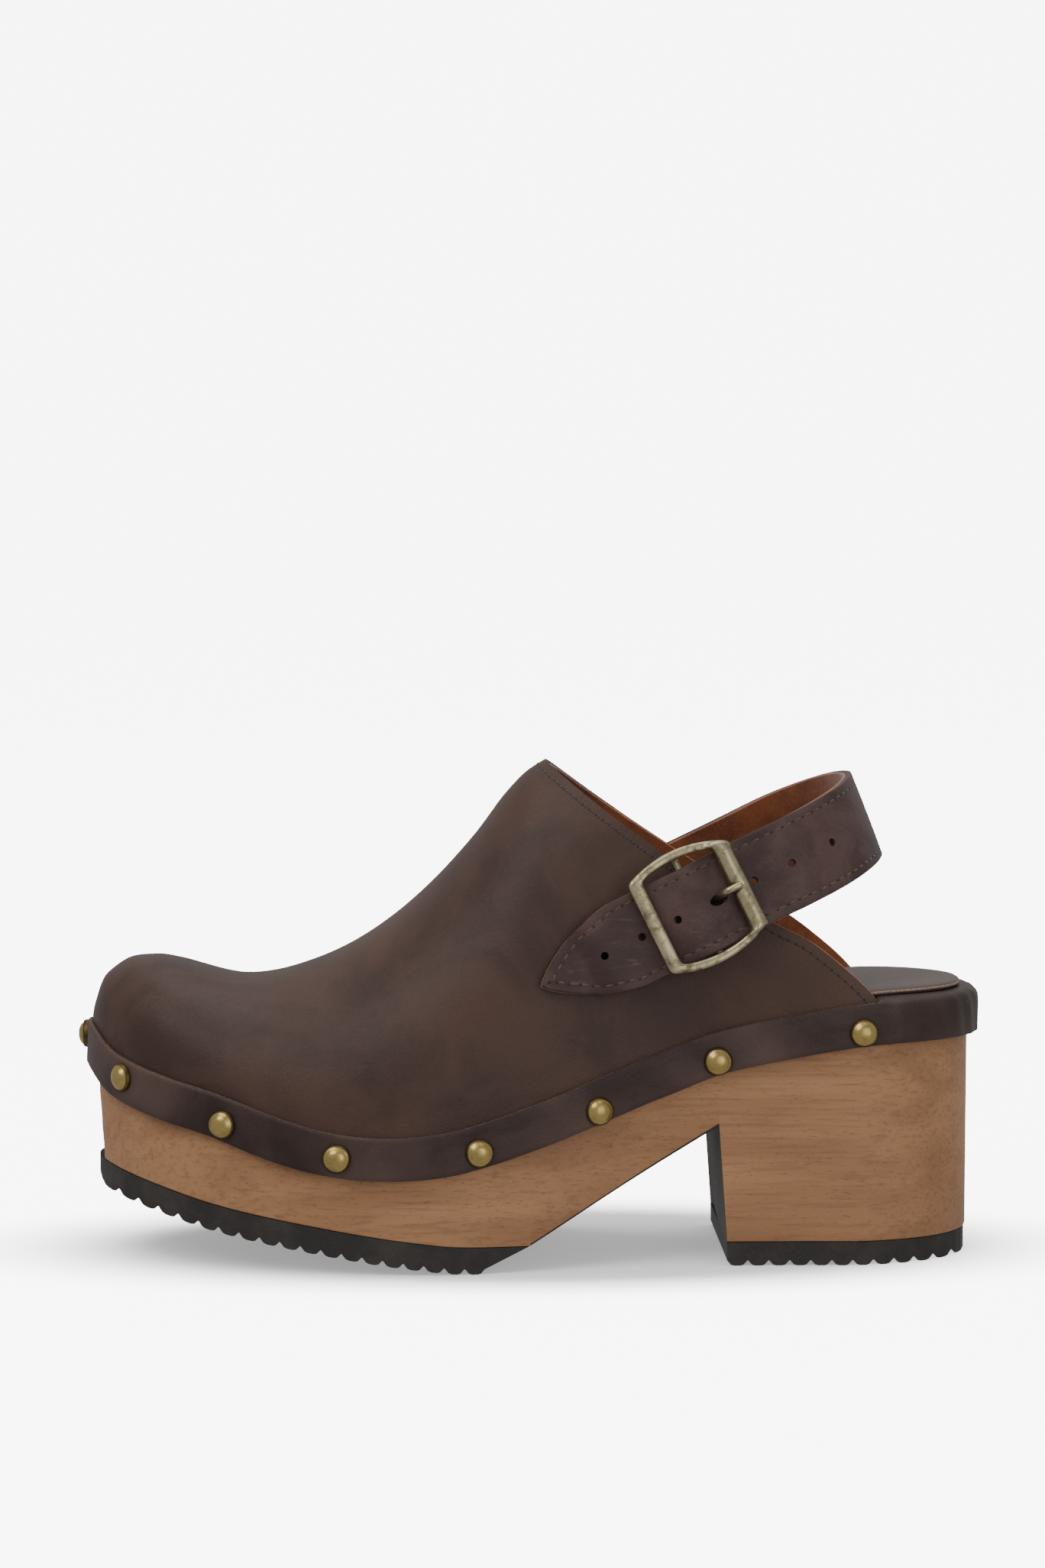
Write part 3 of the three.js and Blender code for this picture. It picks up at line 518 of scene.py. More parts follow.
class Shade:
    """A material's node tree with one main shader."""

    def __init__(self, name: str, **constants: object) -> None:
        """Start a material.

        Args:
            name: the material's name.
            constants: main shader sockets that are the same all over, by name with underscores.
        """
        self.material = bpy.data.materials.new(name)
        self.material.use_nodes = True
        self.tree = self.material.node_tree
        self.shader = self.tree.nodes["Principled BSDF"]
        for key, value in constants.items():
            self.shader.inputs[key.replace("_", " ")].default_value = value

    def node(
        self,
        kind: str,
        settings: dict[str, object] | None = None,
        inputs: dict[str | int, object] | None = None,
        output: str | int = 0,
    ) -> Reading:
        """Add a node.

        Args:
            kind: the node's type.
            settings: its own settings, set first.
            inputs: values or links of its sockets, by name or number.
            output: the socket to read.

        Returns:
            The chosen output.
        """
        made = self.tree.nodes.new(kind)
        for key, value in (settings or {}).items():
            setattr(made, key, value)
        for key, value in (inputs or {}).items():
            self.feed(made.inputs[key], value)
        return Reading(self, made.outputs[output])

    def feed(self, socket: bpy.types.NodeSocket, value: object) -> None:
        """Link a reading to a socket, or set its value."""
        if isinstance(value, Reading):
            self.tree.links.new(value.socket, socket)
        else:
            socket.default_value = value

    def number(self, operation: str, *values: Reading | float) -> Reading:
        """Return a Math node's result."""
        return self.node("ShaderNodeMath", {"operation": operation}, dict(enumerate(values)))

    def mix(self, share: Reading | float, a: object, b: object) -> Reading:
        """Return two colours mixed."""
        inputs = {0: share, 6: self._colour(a), 7: self._colour(b)}
        return self.node("ShaderNodeMix", {"data_type": "RGBA"}, inputs, 2)

    @staticmethod
    def _colour(value: object) -> object:
        """Give a plain colour its fourth number."""
        return value if isinstance(value, Reading) else (*value, 1.0)

    def place(self, scale: Triple = (1, 1, 1), turn: Triple = (0, 0, 0)) -> Reading:
        """Return the object's coordinates, scaled and turned."""
        coordinates = self.node("ShaderNodeTexCoord", output="Object")
        return self.node("ShaderNodeMapping", None, {"Vector": coordinates, "Scale": scale, "Rotation": turn})

    def noise(
        self, vector: Reading, scale: float, detail: float = 4.0, rough: float = 0.5, warp: float = 0.0
    ) -> Reading:
        """Return a noise value."""
        values = {"Vector": vector, "Scale": scale, "Detail": detail, "Roughness": rough, "Distortion": warp}
        return self.node("ShaderNodeTexNoise", None, values)

    def cells(self, vector: Reading, scale: float) -> Reading:
        """Return the distance value of a cell pattern."""
        return self.node("ShaderNodeTexVoronoi", None, {"Vector": vector, "Scale": scale})

    def bump(self, height: Reading, distance: float) -> None:
        """Feed a height, in units of distance metres, to the shader's normal."""
        values = {"Height": height, "Distance": distance, "Strength": 1.0}
        self.put("Normal", self.node("ShaderNodeBump", None, values))

    def put(self, socket: str, value: object) -> None:
        """Feed one of the main shader's sockets."""
        self.feed(self.shader.inputs[socket], value)


def linear(red: int, green: int, blue: int) -> Triple:
    """Return a linear colour for display values from 0 to 255."""
    parts = []
    for value in (red, green, blue):
        share = value / 255
        parts.append(share / 12.92 if share <= 0.04045 else ((share + 0.055) / 1.055) ** 2.4)
    return (parts[0], parts[1], parts[2])


# ---------------------------------------------------------------- finishes


@dataclass(frozen=True)
class OiledLeather:
    """Waxed leather whose colour clouds where it has been handled."""

    name: str
    deep: Triple
    main: Triple
    warm: Triple
    roughness: float = 0.42
    cloud: float = 26.0
    grain: float = 0.00016
    scuffs: float = 0.25

    def build(self) -> bpy.types.Material:
        """Return the material."""
        shade = Shade(self.name, Specular_IOR_Level=0.22)
        place = shade.place()
        clouds = shade.noise(place, self.cloud, 5, 0.62, 0.6)
        drift = shade.noise(place, self.cloud * 0.35, 3, 0.5)
        pores = shade.cells(place, 1500)
        fibre = shade.noise(place, 900, 3, 0.6)
        scuff = shade.noise(shade.place((1.0, 1.0, 5.0)), 60, 6, 0.7).between(0.6, 0.74)
        colour = shade.mix(clouds.between(0.36, 0.62), self.deep, self.main)
        colour = shade.mix(drift.between(0.44, 0.66) * 0.75, colour, self.warm)
        colour = shade.mix(scuff * self.scuffs, colour, self.warm)
        fine = shade.noise(place, 2200, 2, 0.5)
        colour = shade.mix((fine - 0.5) * 0.5 + 0.1, colour, self.deep)
        shade.put("Base Color", colour)
        shade.put("Roughness", clouds * 0.16 + fibre * 0.12 + (self.roughness - 0.14))
        creases = shade.noise(shade.place((1.0, 0.55, 1.0)), 210, 4, 0.6, 0.8)
        shade.bump(pores * 0.3 + fibre * 0.35 + creases * 0.8, self.grain)
        return shade.material


@dataclass(frozen=True)
class NappedLining:
    """Rust-coloured lining leather with a short nap."""

    name: str = "lining"

    def build(self) -> bpy.types.Material:
        """Return the material."""
        shade = Shade(self.name, Sheen_Weight=0.35, Sheen_Roughness=0.5, Specular_IOR_Level=0.2)
        place = shade.place()
        nap = shade.noise(place, 1300, 4, 0.65)
        patch = shade.noise(place, 55, 4, 0.6)
        colour = shade.mix(patch.between(0.35, 0.68), linear(96, 49, 27), linear(134, 76, 44))
        colour = shade.mix(nap.between(0.4, 0.75) * 0.5, colour, linear(150, 86, 48))
        shade.put("Base Color", colour)
        shade.put("Roughness", nap * 0.1 + 0.82)
        shade.bump(nap + patch * 0.4, 0.00014)
        return shade.material


@dataclass(frozen=True)
class CutEdge:
    """Burnished cut edge of leather."""

    name: str
    colour: Triple

    def build(self) -> bpy.types.Material:
        """Return the material."""
        shade = Shade(self.name)
        fibre = shade.noise(shade.place((1.0, 1.0, 1.0)), 1600, 4, 0.65)
        dark = tuple(part * 0.45 for part in self.colour)
        shade.put("Base Color", shade.mix(fibre.between(0.35, 0.7), dark, self.colour))
        shade.put("Roughness", fibre * 0.2 + 0.55)
        shade.bump(fibre, 0.0001)
        return shade.material


@dataclass(frozen=True)
class CarvedWood:
    """Oiled pale hardwood with its grain along the sole."""

    name: str = "wood"

    def build(self) -> bpy.types.Material:
        """Return the material."""
        shade = Shade(self.name, Specular_IOR_Level=0.25)
        tilt = (0.0, math.radians(9), 0.0)
        along = shade.place((0.09, 1.0, 1.0), tilt)
        rings = shade.noise(along, 90, 3, 0.5, 0.5)
        fibre = shade.noise(shade.place((0.05, 1.0, 1.0), tilt), 900, 4, 0.6)
        steeper = (0.0, math.radians(12), 0.0)
        flecks = shade.noise(shade.place((0.3, 1.0, 1.0), steeper), 1700, 3, 0.6).between(0.6, 0.7)
        cloud = shade.noise(shade.place((0.5, 1.0, 1.0)), 22, 4, 0.6, 0.4)
        colour = shade.mix(rings.between(0.36, 0.66), linear(160, 117, 82), linear(144, 104, 72))
        colour = shade.mix(cloud.between(0.42, 0.72) * 0.45, colour, linear(132, 93, 64))
        colour = shade.mix(fibre.between(0.45, 0.7) * 0.4, colour, linear(108, 74, 50))
        colour = shade.mix(flecks * 0.35, colour, linear(96, 64, 42))
        shade.put("Base Color", colour)
        shade.put("Roughness", fibre * 0.16 + 0.44)
        shade.bump(fibre * 0.6 + flecks * -0.5 + rings * 0.3, 0.00012)
        return shade.material


@dataclass(frozen=True)
class EndGrainAndShade:
    """End grain of the arch and the heel breast, dark partly from its own stain and partly from painted shade
    where the arch and breast lie in shadow.
    """

    name: str = "end_grain_and_shade"

    def build(self) -> bpy.types.Material:
        """Return the material."""
        shade = Shade(self.name)
        place = shade.place((1.0, 1.0, 0.25))
        pores = shade.noise(place, 800, 4, 0.7)
        rings = shade.noise(place, 120, 3, 0.5, 0.7)
        # Stain of the end grain mixed with painted shade: both colours are darkened for the shadow under the
        # arch.
        colour = shade.mix(rings.between(0.35, 0.65), linear(46, 35, 29), linear(32, 25, 21))
        shade.put("Base Color", shade.mix(pores.between(0.5, 0.7) * 0.6, colour, linear(22, 17, 14)))
        shade.put("Roughness", pores * 0.2 + 0.6)
        shade.bump(pores, 0.00015)
        return shade.material


@dataclass(frozen=True)
class MouldedRubber:
    """Matt dark rubber of the treads."""

    name: str = "rubber"

    def build(self) -> bpy.types.Material:
        """Return the material."""
        shade = Shade(self.name, Specular_IOR_Level=0.35)
        place = shade.place()
        fine = shade.noise(place, 1500, 3, 0.6)
        dust = shade.noise(place, 60, 5, 0.7)
        colour = shade.mix(dust.between(0.4, 0.72), linear(34, 30, 28), linear(52, 47, 44))
        shade.put("Base Color", shade.mix(fine.between(0.5, 0.8) * 0.3, colour, linear(64, 58, 54)))
        shade.put("Roughness", dust * 0.2 + 0.6)
        shade.bump(fine, 0.00008)
        return shade.material


@dataclass(frozen=True)
class AgedBrass:
    """Antique brass, pale where it is rubbed and brown in its hollows."""

    name: str
    pale: Triple
    dark: Triple
    patina: float = 0.5
    roughness: float = 0.3

    def build(self) -> bpy.types.Material:
        """Return the material."""
        shade = Shade(self.name)
        place = shade.place()
        tarnish = shade.noise(place, 320, 5, 0.65, 0.4)
        speck = shade.noise(place, 1700, 3, 0.6)
        spot = tarnish.between(0.42, 0.7) * self.patina
        shade.put("Base Color", shade.mix(spot + speck.between(0.62, 0.8) * 0.25, self.pale, self.dark))
        shade.put("Metallic", 1 - spot * 0.35)
        shade.put("Roughness", tarnish * 0.25 + speck * 0.08 + (self.roughness - 0.12))
        shade.bump(tarnish * 0.6 + speck * 0.3, 0.00009)
        return shade.material


@dataclass(frozen=True)
class Thread:
    """Twisted sewing thread."""

    name: str
    colour: Triple

    def build(self) -> bpy.types.Material:
        """Return the material."""
        shade = Shade(self.name, Sheen_Weight=0.2)
        twist = shade.noise(shade.place(), 2600, 2, 0.5)
        dark = tuple(part * 0.5 for part in self.colour)
        shade.put("Base Color", shade.mix(twist.between(0.35, 0.65), dark, self.colour))
        shade.put("Roughness", twist * 0.2 + 0.6)
        shade.bump(twist, 0.00006)
        return shade.material


@dataclass(frozen=True)
class PaleFloor:
    """Pale floor that glows evenly, its glow dimmed round the clog's footprint as a painted contact shadow.
    """

    name: str = "floor"
    glow: float = 7.0
    reach: tuple[float, float] = (0.21, 0.098)

    def build(self) -> bpy.types.Material:
        """Return the material."""
        shade = Shade(self.name, Roughness=0.6, Specular_IOR_Level=0.1, Emission_Strength=self.glow)
        soft = shade.noise(shade.place(), 3, 2, 0.5)
        shade.put("Base Color", shade.mix(soft, (0.93, 0.93, 0.93), (0.95, 0.95, 0.95)))
        # Painted shadow: the glow fades to nearly black inside an ellipse round the clog's footprint.
        spread = shade.place((1 / self.reach[0], 1 / self.reach[1], 1.0))
        near = shade.node("ShaderNodeTexGradient", {"gradient_type": "SPHERICAL"}, {"Vector": spread}, "Fac")
        shade.put("Emission Color", shade.mix(near.between(0.1, 0.5), (1.0, 1.0, 1.0), (0.05, 0.05, 0.05)))
        return shade.material


class Finishes:
    """Every material of the clog, built once."""

    def __init__(self) -> None:
        """Build the materials."""
        self.vamp = OiledLeather(
            "vamp_leather", linear(54, 38, 33), linear(70, 50, 42), linear(84, 61, 49), 0.52
        ).build()
        self.band = OiledLeather(
            "band_leather", linear(42, 29, 26), linear(58, 44, 40), linear(90, 70, 63), 0.5, 40, scuffs=0.3
        ).build()
        # Lighter top face of the band: partly its worn cut edge, partly a painted highlight.
        self.band_edge_wear_and_highlight = CutEdge("band_edge_wear_and_highlight", linear(96, 72, 60)).build()
        self.strap = OiledLeather(
            "strap_leather", linear(54, 38, 36), linear(78, 59, 54), linear(110, 89, 82), 0.5, 42, scuffs=0.5
        ).build()
        self.sock = OiledLeather(
            "sock_leather", linear(66, 53, 48), linear(82, 67, 61), linear(98, 82, 75), 0.45, 22, scuffs=0.1
        ).build()
        # Painted highlight: pale colour for the rounded rim of the sock's cover.
        self.sock_edge_highlight = CutEdge("sock_edge_highlight", linear(158, 134, 114)).build()
        self.lining = NappedLining().build()
        self.edge = CutEdge("leather_edge", linear(96, 62, 44)).build()
        self.wood = CarvedWood().build()
        self.end_grain_and_shade = EndGrainAndShade().build()
        self.rubber = MouldedRubber().build()
        self.studs = AgedBrass("stud_brass", linear(166, 144, 88), linear(88, 70, 38), 0.4, 0.27).build()
        # Painted shade: dark brass for the steep rim of each stud.
        self.stud_rim_shade = AgedBrass("stud_rim_brass", linear(96, 78, 46), linear(36, 26, 14), 0.8, 0.42).build()
        self.buckle = AgedBrass("buckle_brass", linear(164, 154, 122), linear(64, 53, 38), 0.8, 0.3).build()
        self.thread = Thread("strap_thread", linear(94, 62, 47)).build()
        self.dark_thread = Thread("collar_thread", linear(46, 31, 25)).build()
        # Painted shade: near-black colour of the needle-hole marks.
        self.hole = CutEdge("painted_hole_shade", linear(26, 18, 15)).build()
        self.foam = CutEdge("foam", linear(140, 132, 120)).build()
        self.floor = PaleFloor().build()


# ---------------------------------------------------------------- sole


def merged(points: Points, places: Points) -> Points:
    """Return the points of a closed line at fractional places along it."""
    low = places.astype(int)
    share = (places - low)[:, None]
    return points[low] * (1 - share) + np.roll(points, -1, 0)[low] * share


def raised(points: Points, heights: Sequence[float]) -> Points:
    """Return plan points in millimetres as model points at the given heights."""
    return np.array([LINES.place(x, y, z) for (x, y), z in zip(points, heights)])


def wrapped(rows: list[Points]) -> Points:
    """Return rows whose last point repeats the first, which closes them into rings."""
    return np.array([np.vstack([row, row[:1]]) for row in rows])


@dataclass
class WoodSole:
    """Carved wooden sole with a raised heel, an open arch and softened edges."""

    edge_round: float = 0.9
    spine_front: float = 42.0
    spine_rear: float = 214.0
    spine_step: float = 2.0

    def places(self) -> Points:
        """Return fractional places round the outline, with one at each corner of the arch."""
        x = LINES.outline()[:, 0]
        after = np.roll(x, -1)
        places = [float(i) for i in range(len(x))]
        for corner in (LINES.arch_front, LINES.arch_rear, LINES.arch_rear + LINES.breast_slant):
            for i in np.flatnonzero((x - corner) * (after - corner) < 0):
                places.append(i + (corner - x[i]) / (after[i] - x[i]))
        return np.sort(np.array(places))

    def spine(self, edge: Points, height: Callable[[float], float]) -> Points:
        """Return the line along the middle that a cap is drawn to."""
        corners = [LINES.arch_front, LINES.arch_rear, LINES.arch_rear + LINES.breast_slant]
        spots = []
        for x in np.clip(edge[:, 0], self.spine_front, self.spine_rear):
            near = min(corners, key=lambda corner: abs(corner - x))
            even = round(x / self.spine_step) * self.spine_step
            station = near if abs(near - x) < self.spine_step / 2 else even
            spots.append((station, 0.0, height(station)))
        return raised(np.array(spots)[:, :2], np.array(spots)[:, 2])

    def build(self) -> bpy.types.Object:
        """Return the sole's mesh."""
        places = self.places()
        base = merged(LINES.outline(), places)
        low = np.array([LINES.bottom(x) for x in base[:, 0]])
        high = np.array([LINES.top_edge(x) for x in base[:, 0]])
        r = self.edge_round
        rows = [self.spine(base, LINES.bottom)]
        for inset, lift in ((6 * r, 0), (r, 0), (0.3 * r, 0.3 * r), (0, r)):
            rows.append(raised(merged(LINES.outline(-inset), places), low + lift))
        for share in (0.25, 0.5, 0.75):
            rows.append(raised(base, low + r + (high - low - 2 * r) * share))
        for inset, drop in ((0, r), (0.3 * r, 0.3 * r), (r, 0), (6 * r, 0)):
            rows.append(raised(merged(LINES.outline(-inset), places), high - drop))
        rows.append(self.spine(base, LINES.top_edge))
        return Shaping.sheet("wooden_sole", wrapped([self.slanted(row) for row in rows]))

    @staticmethod
    def slanted(row: Points) -> Points:
        """Cut a row back to the slanted face at the front of the toe."""
        low, high = LINES.bottom(0), LINES.top_edge(0)
        cut = [lerp(LINES.toe_slant, -1.0, (z / MM - low) / (high - low)) for z in row[:, 2]]
        front = np.array([LINES.place(x, 0, 0)[0] for x in cut])
        return np.column_stack([np.maximum(row[:, 0], front), row[:, 1:]])

    def dress(self, piece: bpy.types.Object, finishes: "Finishes") -> None:
        """Give the sole its wood, with end grain darkened by painted shade in the arch and leather on its
        top.
        """
        Shaping.dress(piece, finishes.wood, finishes.end_grain_and_shade, finishes.sock)
        front, rear = LINES.place(LINES.arch_front, 0, 0)[0], LINES.place(LINES.arch_rear + 3, 0, 0)[0]
        for face in piece.data.polygons:
            # The arch's underside and the breast take the end grain, darkened as painted shade.
            inside = front < face.center.x < rear and (face.normal.z < -0.15 or face.normal.x < -0.7)
            face.material_index = 1 if inside else 2 if face.normal.z > 0.7 else 0
        Shaping.smooth(piece, 28)


@dataclass
class Insole:
    """Leather-covered sock that lies on the sole inside the upper."""

    inset: float = 6.0
    low: float = 1.75
    high: float = 3.7
    dish: float = 0.25
    back_reach: float = 3.8
    reach_front: float = 0.75

    def edge(self, extra: float) -> Points:
        """Return the cover's outline in plan, drawn back over the rear of the sole."""
        points = LINES.outline(-self.inset - extra)
        front, rear = self.reach_front * LINES.length, LINES.length - self.inset
        drawn = [self.back_reach * smoothstep(x, front, rear) for x in points[:, 0]]
        return points + np.column_stack([drawn, np.zeros(len(drawn))])

    def build(self) -> bpy.types.Object:
        """Return the cover's mesh."""
        base = LINES.outline()
        high = np.array([LINES.top_edge(x) for x in base[:, 0]])
        sole = WoodSole()
        rows = [sole.spine(base, lambda x: LINES.top_edge(x) + self.low)]
        for extra, lift in ((1.2, self.low), (0.3, self.low + 0.25), (0.0, self.low + 0.9)):
            rows.append(raised(self.edge(extra), high + lift))
        for extra, lift in ((0.15, -0.45), (0.7, -0.1), (1.6, 0.0), (5.0, 0.1)):
            rows.append(raised(self.edge(extra), high + self.high + lift))
        rows.append(sole.spine(base, lambda x: LINES.top_edge(x) + self.high - self.dish))
        piece = Shaping.sheet("insole_sock", wrapped(rows))
        Shaping.smooth(piece, 50)
        return piece


# ---------------------------------------------------------------- welt band and studs


class Mark(Enum):
    """Heights that the band's section is measured from."""

    LOW = "lower edge"
    MIDDLE = "middle"
    TOP = "top edge"


@dataclass
class Studs:
    """Domed brass nails round the band."""

    pairs: tuple[tuple[float, float], ...] = (
        (0.031, 0.2),
        (0.146, 1.9),
        (0.274, 0.7),
        (0.433, 1.8),
        (0.568, 3.0),
        (0.702, 2.2),
        (0.866, 2.1),
    )
    rear: tuple[float, float] = (0.985, 1.2)
    toe_rise: float = 1.6
    radius: float = 4.0
    dome: float = 2.5
    rim_start: float = 0.84
    band_out: float = 3.19
    crown: tuple[tuple[float, float], ...] = (
        (1.0, -0.35),
        (1.02, 0.0),
        (1.0, 0.22),
        (0.95, 0.36),
        (0.87, 0.44),
        (0.8, 0.5),
        (0.7, 0.67),
        (0.56, 0.83),
        (0.38, 0.94),
        (0.2, 0.99),
        (0.0, 1.0),
    )

    def seat(self, share: float, drop: float, side: int) -> tuple[Vector, Vector]:
        """Return a nail's foot and outward direction, for a share of the length and a side."""
        points = LINES.outline(self.band_out)
        ahead = np.roll(points, -1, 0) - np.roll(points, 1, 0)
        x = share * LINES.length
        y = LINES.half(x, side, self.band_out)
        i = int(np.hypot(points[:, 0] - x, points[:, 1] - y).argmin())
        out = Vector((ahead[i, 1], -ahead[i, 0], 0)).normalized()
        return Vector(LINES.place(x, y, LINES.band_middle(x) - drop)), out

    def spots(self) -> list[tuple[Vector, Vector]]:
        """Return each nail's foot and outward direction, in the order of the CAD nodes."""
        found = [self.seat(share, drop, side) for share, drop in self.pairs for side in (-1, 1)]
        toe = LINES.place(-self.band_out, LINES.tip_offset, LINES.band_middle(0) + self.toe_rise)
        return [*found, (Vector(toe), Vector((-1, 0, 0))), self.seat(*self.rear, 1)]

    def build(self, finishes: "Finishes") -> list[bpy.types.Object]:
        """Return one nail for each place, its rim darkened as painted shade."""
        rows = []
        for share, lift in self.crown:
            ring = []
            for k in range(32):
                angle = 2 * math.pi * k / 32
                wave = 1 + 0.012 * math.sin(3 * angle + 1) * share
                r = self.radius * share * wave
                ring.append((r * math.cos(angle) * MM, r * math.sin(angle) * MM, lift * self.dome * MM))
            rows.append(np.array(ring))
        template = Shaping.sheet("stud", wrapped(rows))
        Shaping.dress(template, finishes.studs, finishes.stud_rim_shade)
        for face in template.data.polygons:
            # Rim faces take the dark brass, painted shade round the dome's edge.
            reach = math.hypot(face.center.x, face.center.y) / MM
            face.material_index = 1 if reach > self.rim_start * self.radius else 0
        Shaping.smooth(template, 50)
        made = []
        for number, (spot, out) in enumerate(self.spots(), 1):
            copy = template.copy()
            copy.data = template.data.copy()
            copy.name = f"stud_head_{number:02d}"
            bpy.context.collection.objects.link(copy)
            turn = Matrix.Rotation(number * 1.9, 4, "Z")
            tilt = Matrix.Rotation(0.03 * math.sin(number * 5.3), 4, "X")
            copy.data.transform(Shaping.axes(spot, Vector((0, 0, 1)), out) @ tilt @ turn)
            made.append(copy)
        bpy.data.objects.remove(template)
        return made


@dataclass
class WeltBand:
    """Leather band nailed over the margin of the vamp and turned in over the heel."""

    inner: float = 1.25
    outer: float = 3.19
    turn_front: float = 222.0
    turn_rear: float = 227.0
    dent: float = 0.35
    dent_width: float = 5.5
    puff: float = 0.1
    puff_radius: float = 8.0
    puff_width: float = 2.0
    press_reach: float = 14.0
    straight: float = 110.0
    wave: float = 0.1
    ruck: float = 0.16
    ruck_count: float = 34.0
    ruck_front: float = 95.0
    ruck_rear: float = 118.0
    heel_centre: float = 90.0
    upright: tuple[tuple[float, Mark, float], ...] = field(
        default=(
            (0.05, Mark.LOW, 0.35),
            (0.3, Mark.LOW, 0.05),
            (0.9, Mark.LOW, 0.05),
            (1.0, Mark.LOW, 0.4),
            (1.02, Mark.LOW, 1.6),
            (1.05, Mark.MIDDLE, -2.6),
            (1.06, Mark.MIDDLE, -1.2),
            (1.06, Mark.MIDDLE, 0.2),
            (1.06, Mark.MIDDLE, 1.6),
            (1.05, Mark.MIDDLE, 3.0),
            (1.02, Mark.TOP, -1.3),
            (0.97, Mark.TOP, -0.4),
            (0.8, Mark.TOP, -0.05),
            (0.6, Mark.TOP, 0.0),
            (0.4, Mark.TOP, 0.0),
            (0.2, Mark.TOP, -0.05),
            (0.05, Mark.TOP, -0.35),
            (0.0, Mark.TOP, -1.2),
            (0.0, Mark.TOP, -2.0),
            (0.0, Mark.TOP, -3.0),
            (0.0, Mark.TOP, -4.0),
        )
    )
    turned: tuple[tuple[float, float], ...] = (
        (3.26, -2.4),
        (3.1, -0.9),
        (2.5, 0.3),
        (1.6, 1.1),
        (0.2, 1.55),
        (-4.0, 1.75),
        (-8.5, 1.8),
        (-10.7, 1.6),
        (-11.0, 1.0),
        (-10.7, 0.4),
        (-4.0, 0.3),
        (0.8, 0.3),
    )

    def section(self, x: float) -> list[tuple[float, float]]:
        """Return the band's outline at a station, as (out, height) pairs."""
        edge = LINES.top_edge(x)
        top, low = edge + LINES.band_overlap, LINES.band_low(x)
        marks = {Mark.LOW: low, Mark.MIDDLE: (low + top) / 2, Mark.TOP: top}
        flat = [
            (lerp(self.inner, self.outer, share), marks[mark] + lift) for share, mark, lift in self.upright
        ]
        over = flat[: -len(self.turned)] + [(out, edge + lift) for out, lift in self.turned]
        share = smoothstep(x, self.turn_front, self.turn_rear)
        return [(lerp(a, c, share), lerp(b, d, share)) for (a, b), (c, d) in zip(flat, over)]

    def build(self, studs: Studs) -> bpy.types.Object:
        """Return the band's mesh, pressed in a little round each nail."""
        sections = [self.section(x) for x in LINES.outline()[:, 0]]
        count = len(sections[0])
        rows = []
        for k in range(count):
            out = np.array([section[k][0] for section in sections])
            rows.append(raised(LINES.outline(out), [section[k][1] for section in sections]))
        rows.append(rows[0])
        piece = Shaping.sheet("nailed_band", wrapped(rows))
        self.press(piece, studs)
        Shaping.smooth(piece, 50)
        return piece

    def swell(self, spot: Vector) -> Vector:
        """Return how the leather stands out at a model point, with rucks round the back of the heel."""
        x, y, z = (part / MM for part in spot)
        away = Vector((x, y, 0)) if abs(x) > self.straight else Vector((0, y, 0))
        folds = math.sin(math.atan2(y, x - self.heel_centre) * self.ruck_count + z / 7)
        ruck = self.ruck * smoothstep(x, self.ruck_front, self.ruck_rear) * folds
        return away.normalized() * (self.wave * math.sin(x / 5.3 + z / 4) + ruck) * MM

    def press(self, piece: bpy.types.Object, studs: Studs) -> None:
        """Push the band in round the nails and let it swell between them."""
        spots = studs.spots()
        for vertex in piece.data.vertices:
            vertex.co += self.swell(vertex.co)
            for spot, out in spots:
                reach = (vertex.co - spot).length / MM
                if reach < self.press_reach:
                    puff = self.puff * math.exp(-(((reach - self.puff_radius) / self.puff_width) ** 2))
                    sink = self.dent * math.exp(-((reach / self.dent_width) ** 2)) - puff
                    vertex.co -= out * sink * MM


# ---------------------------------------------------------------- upper


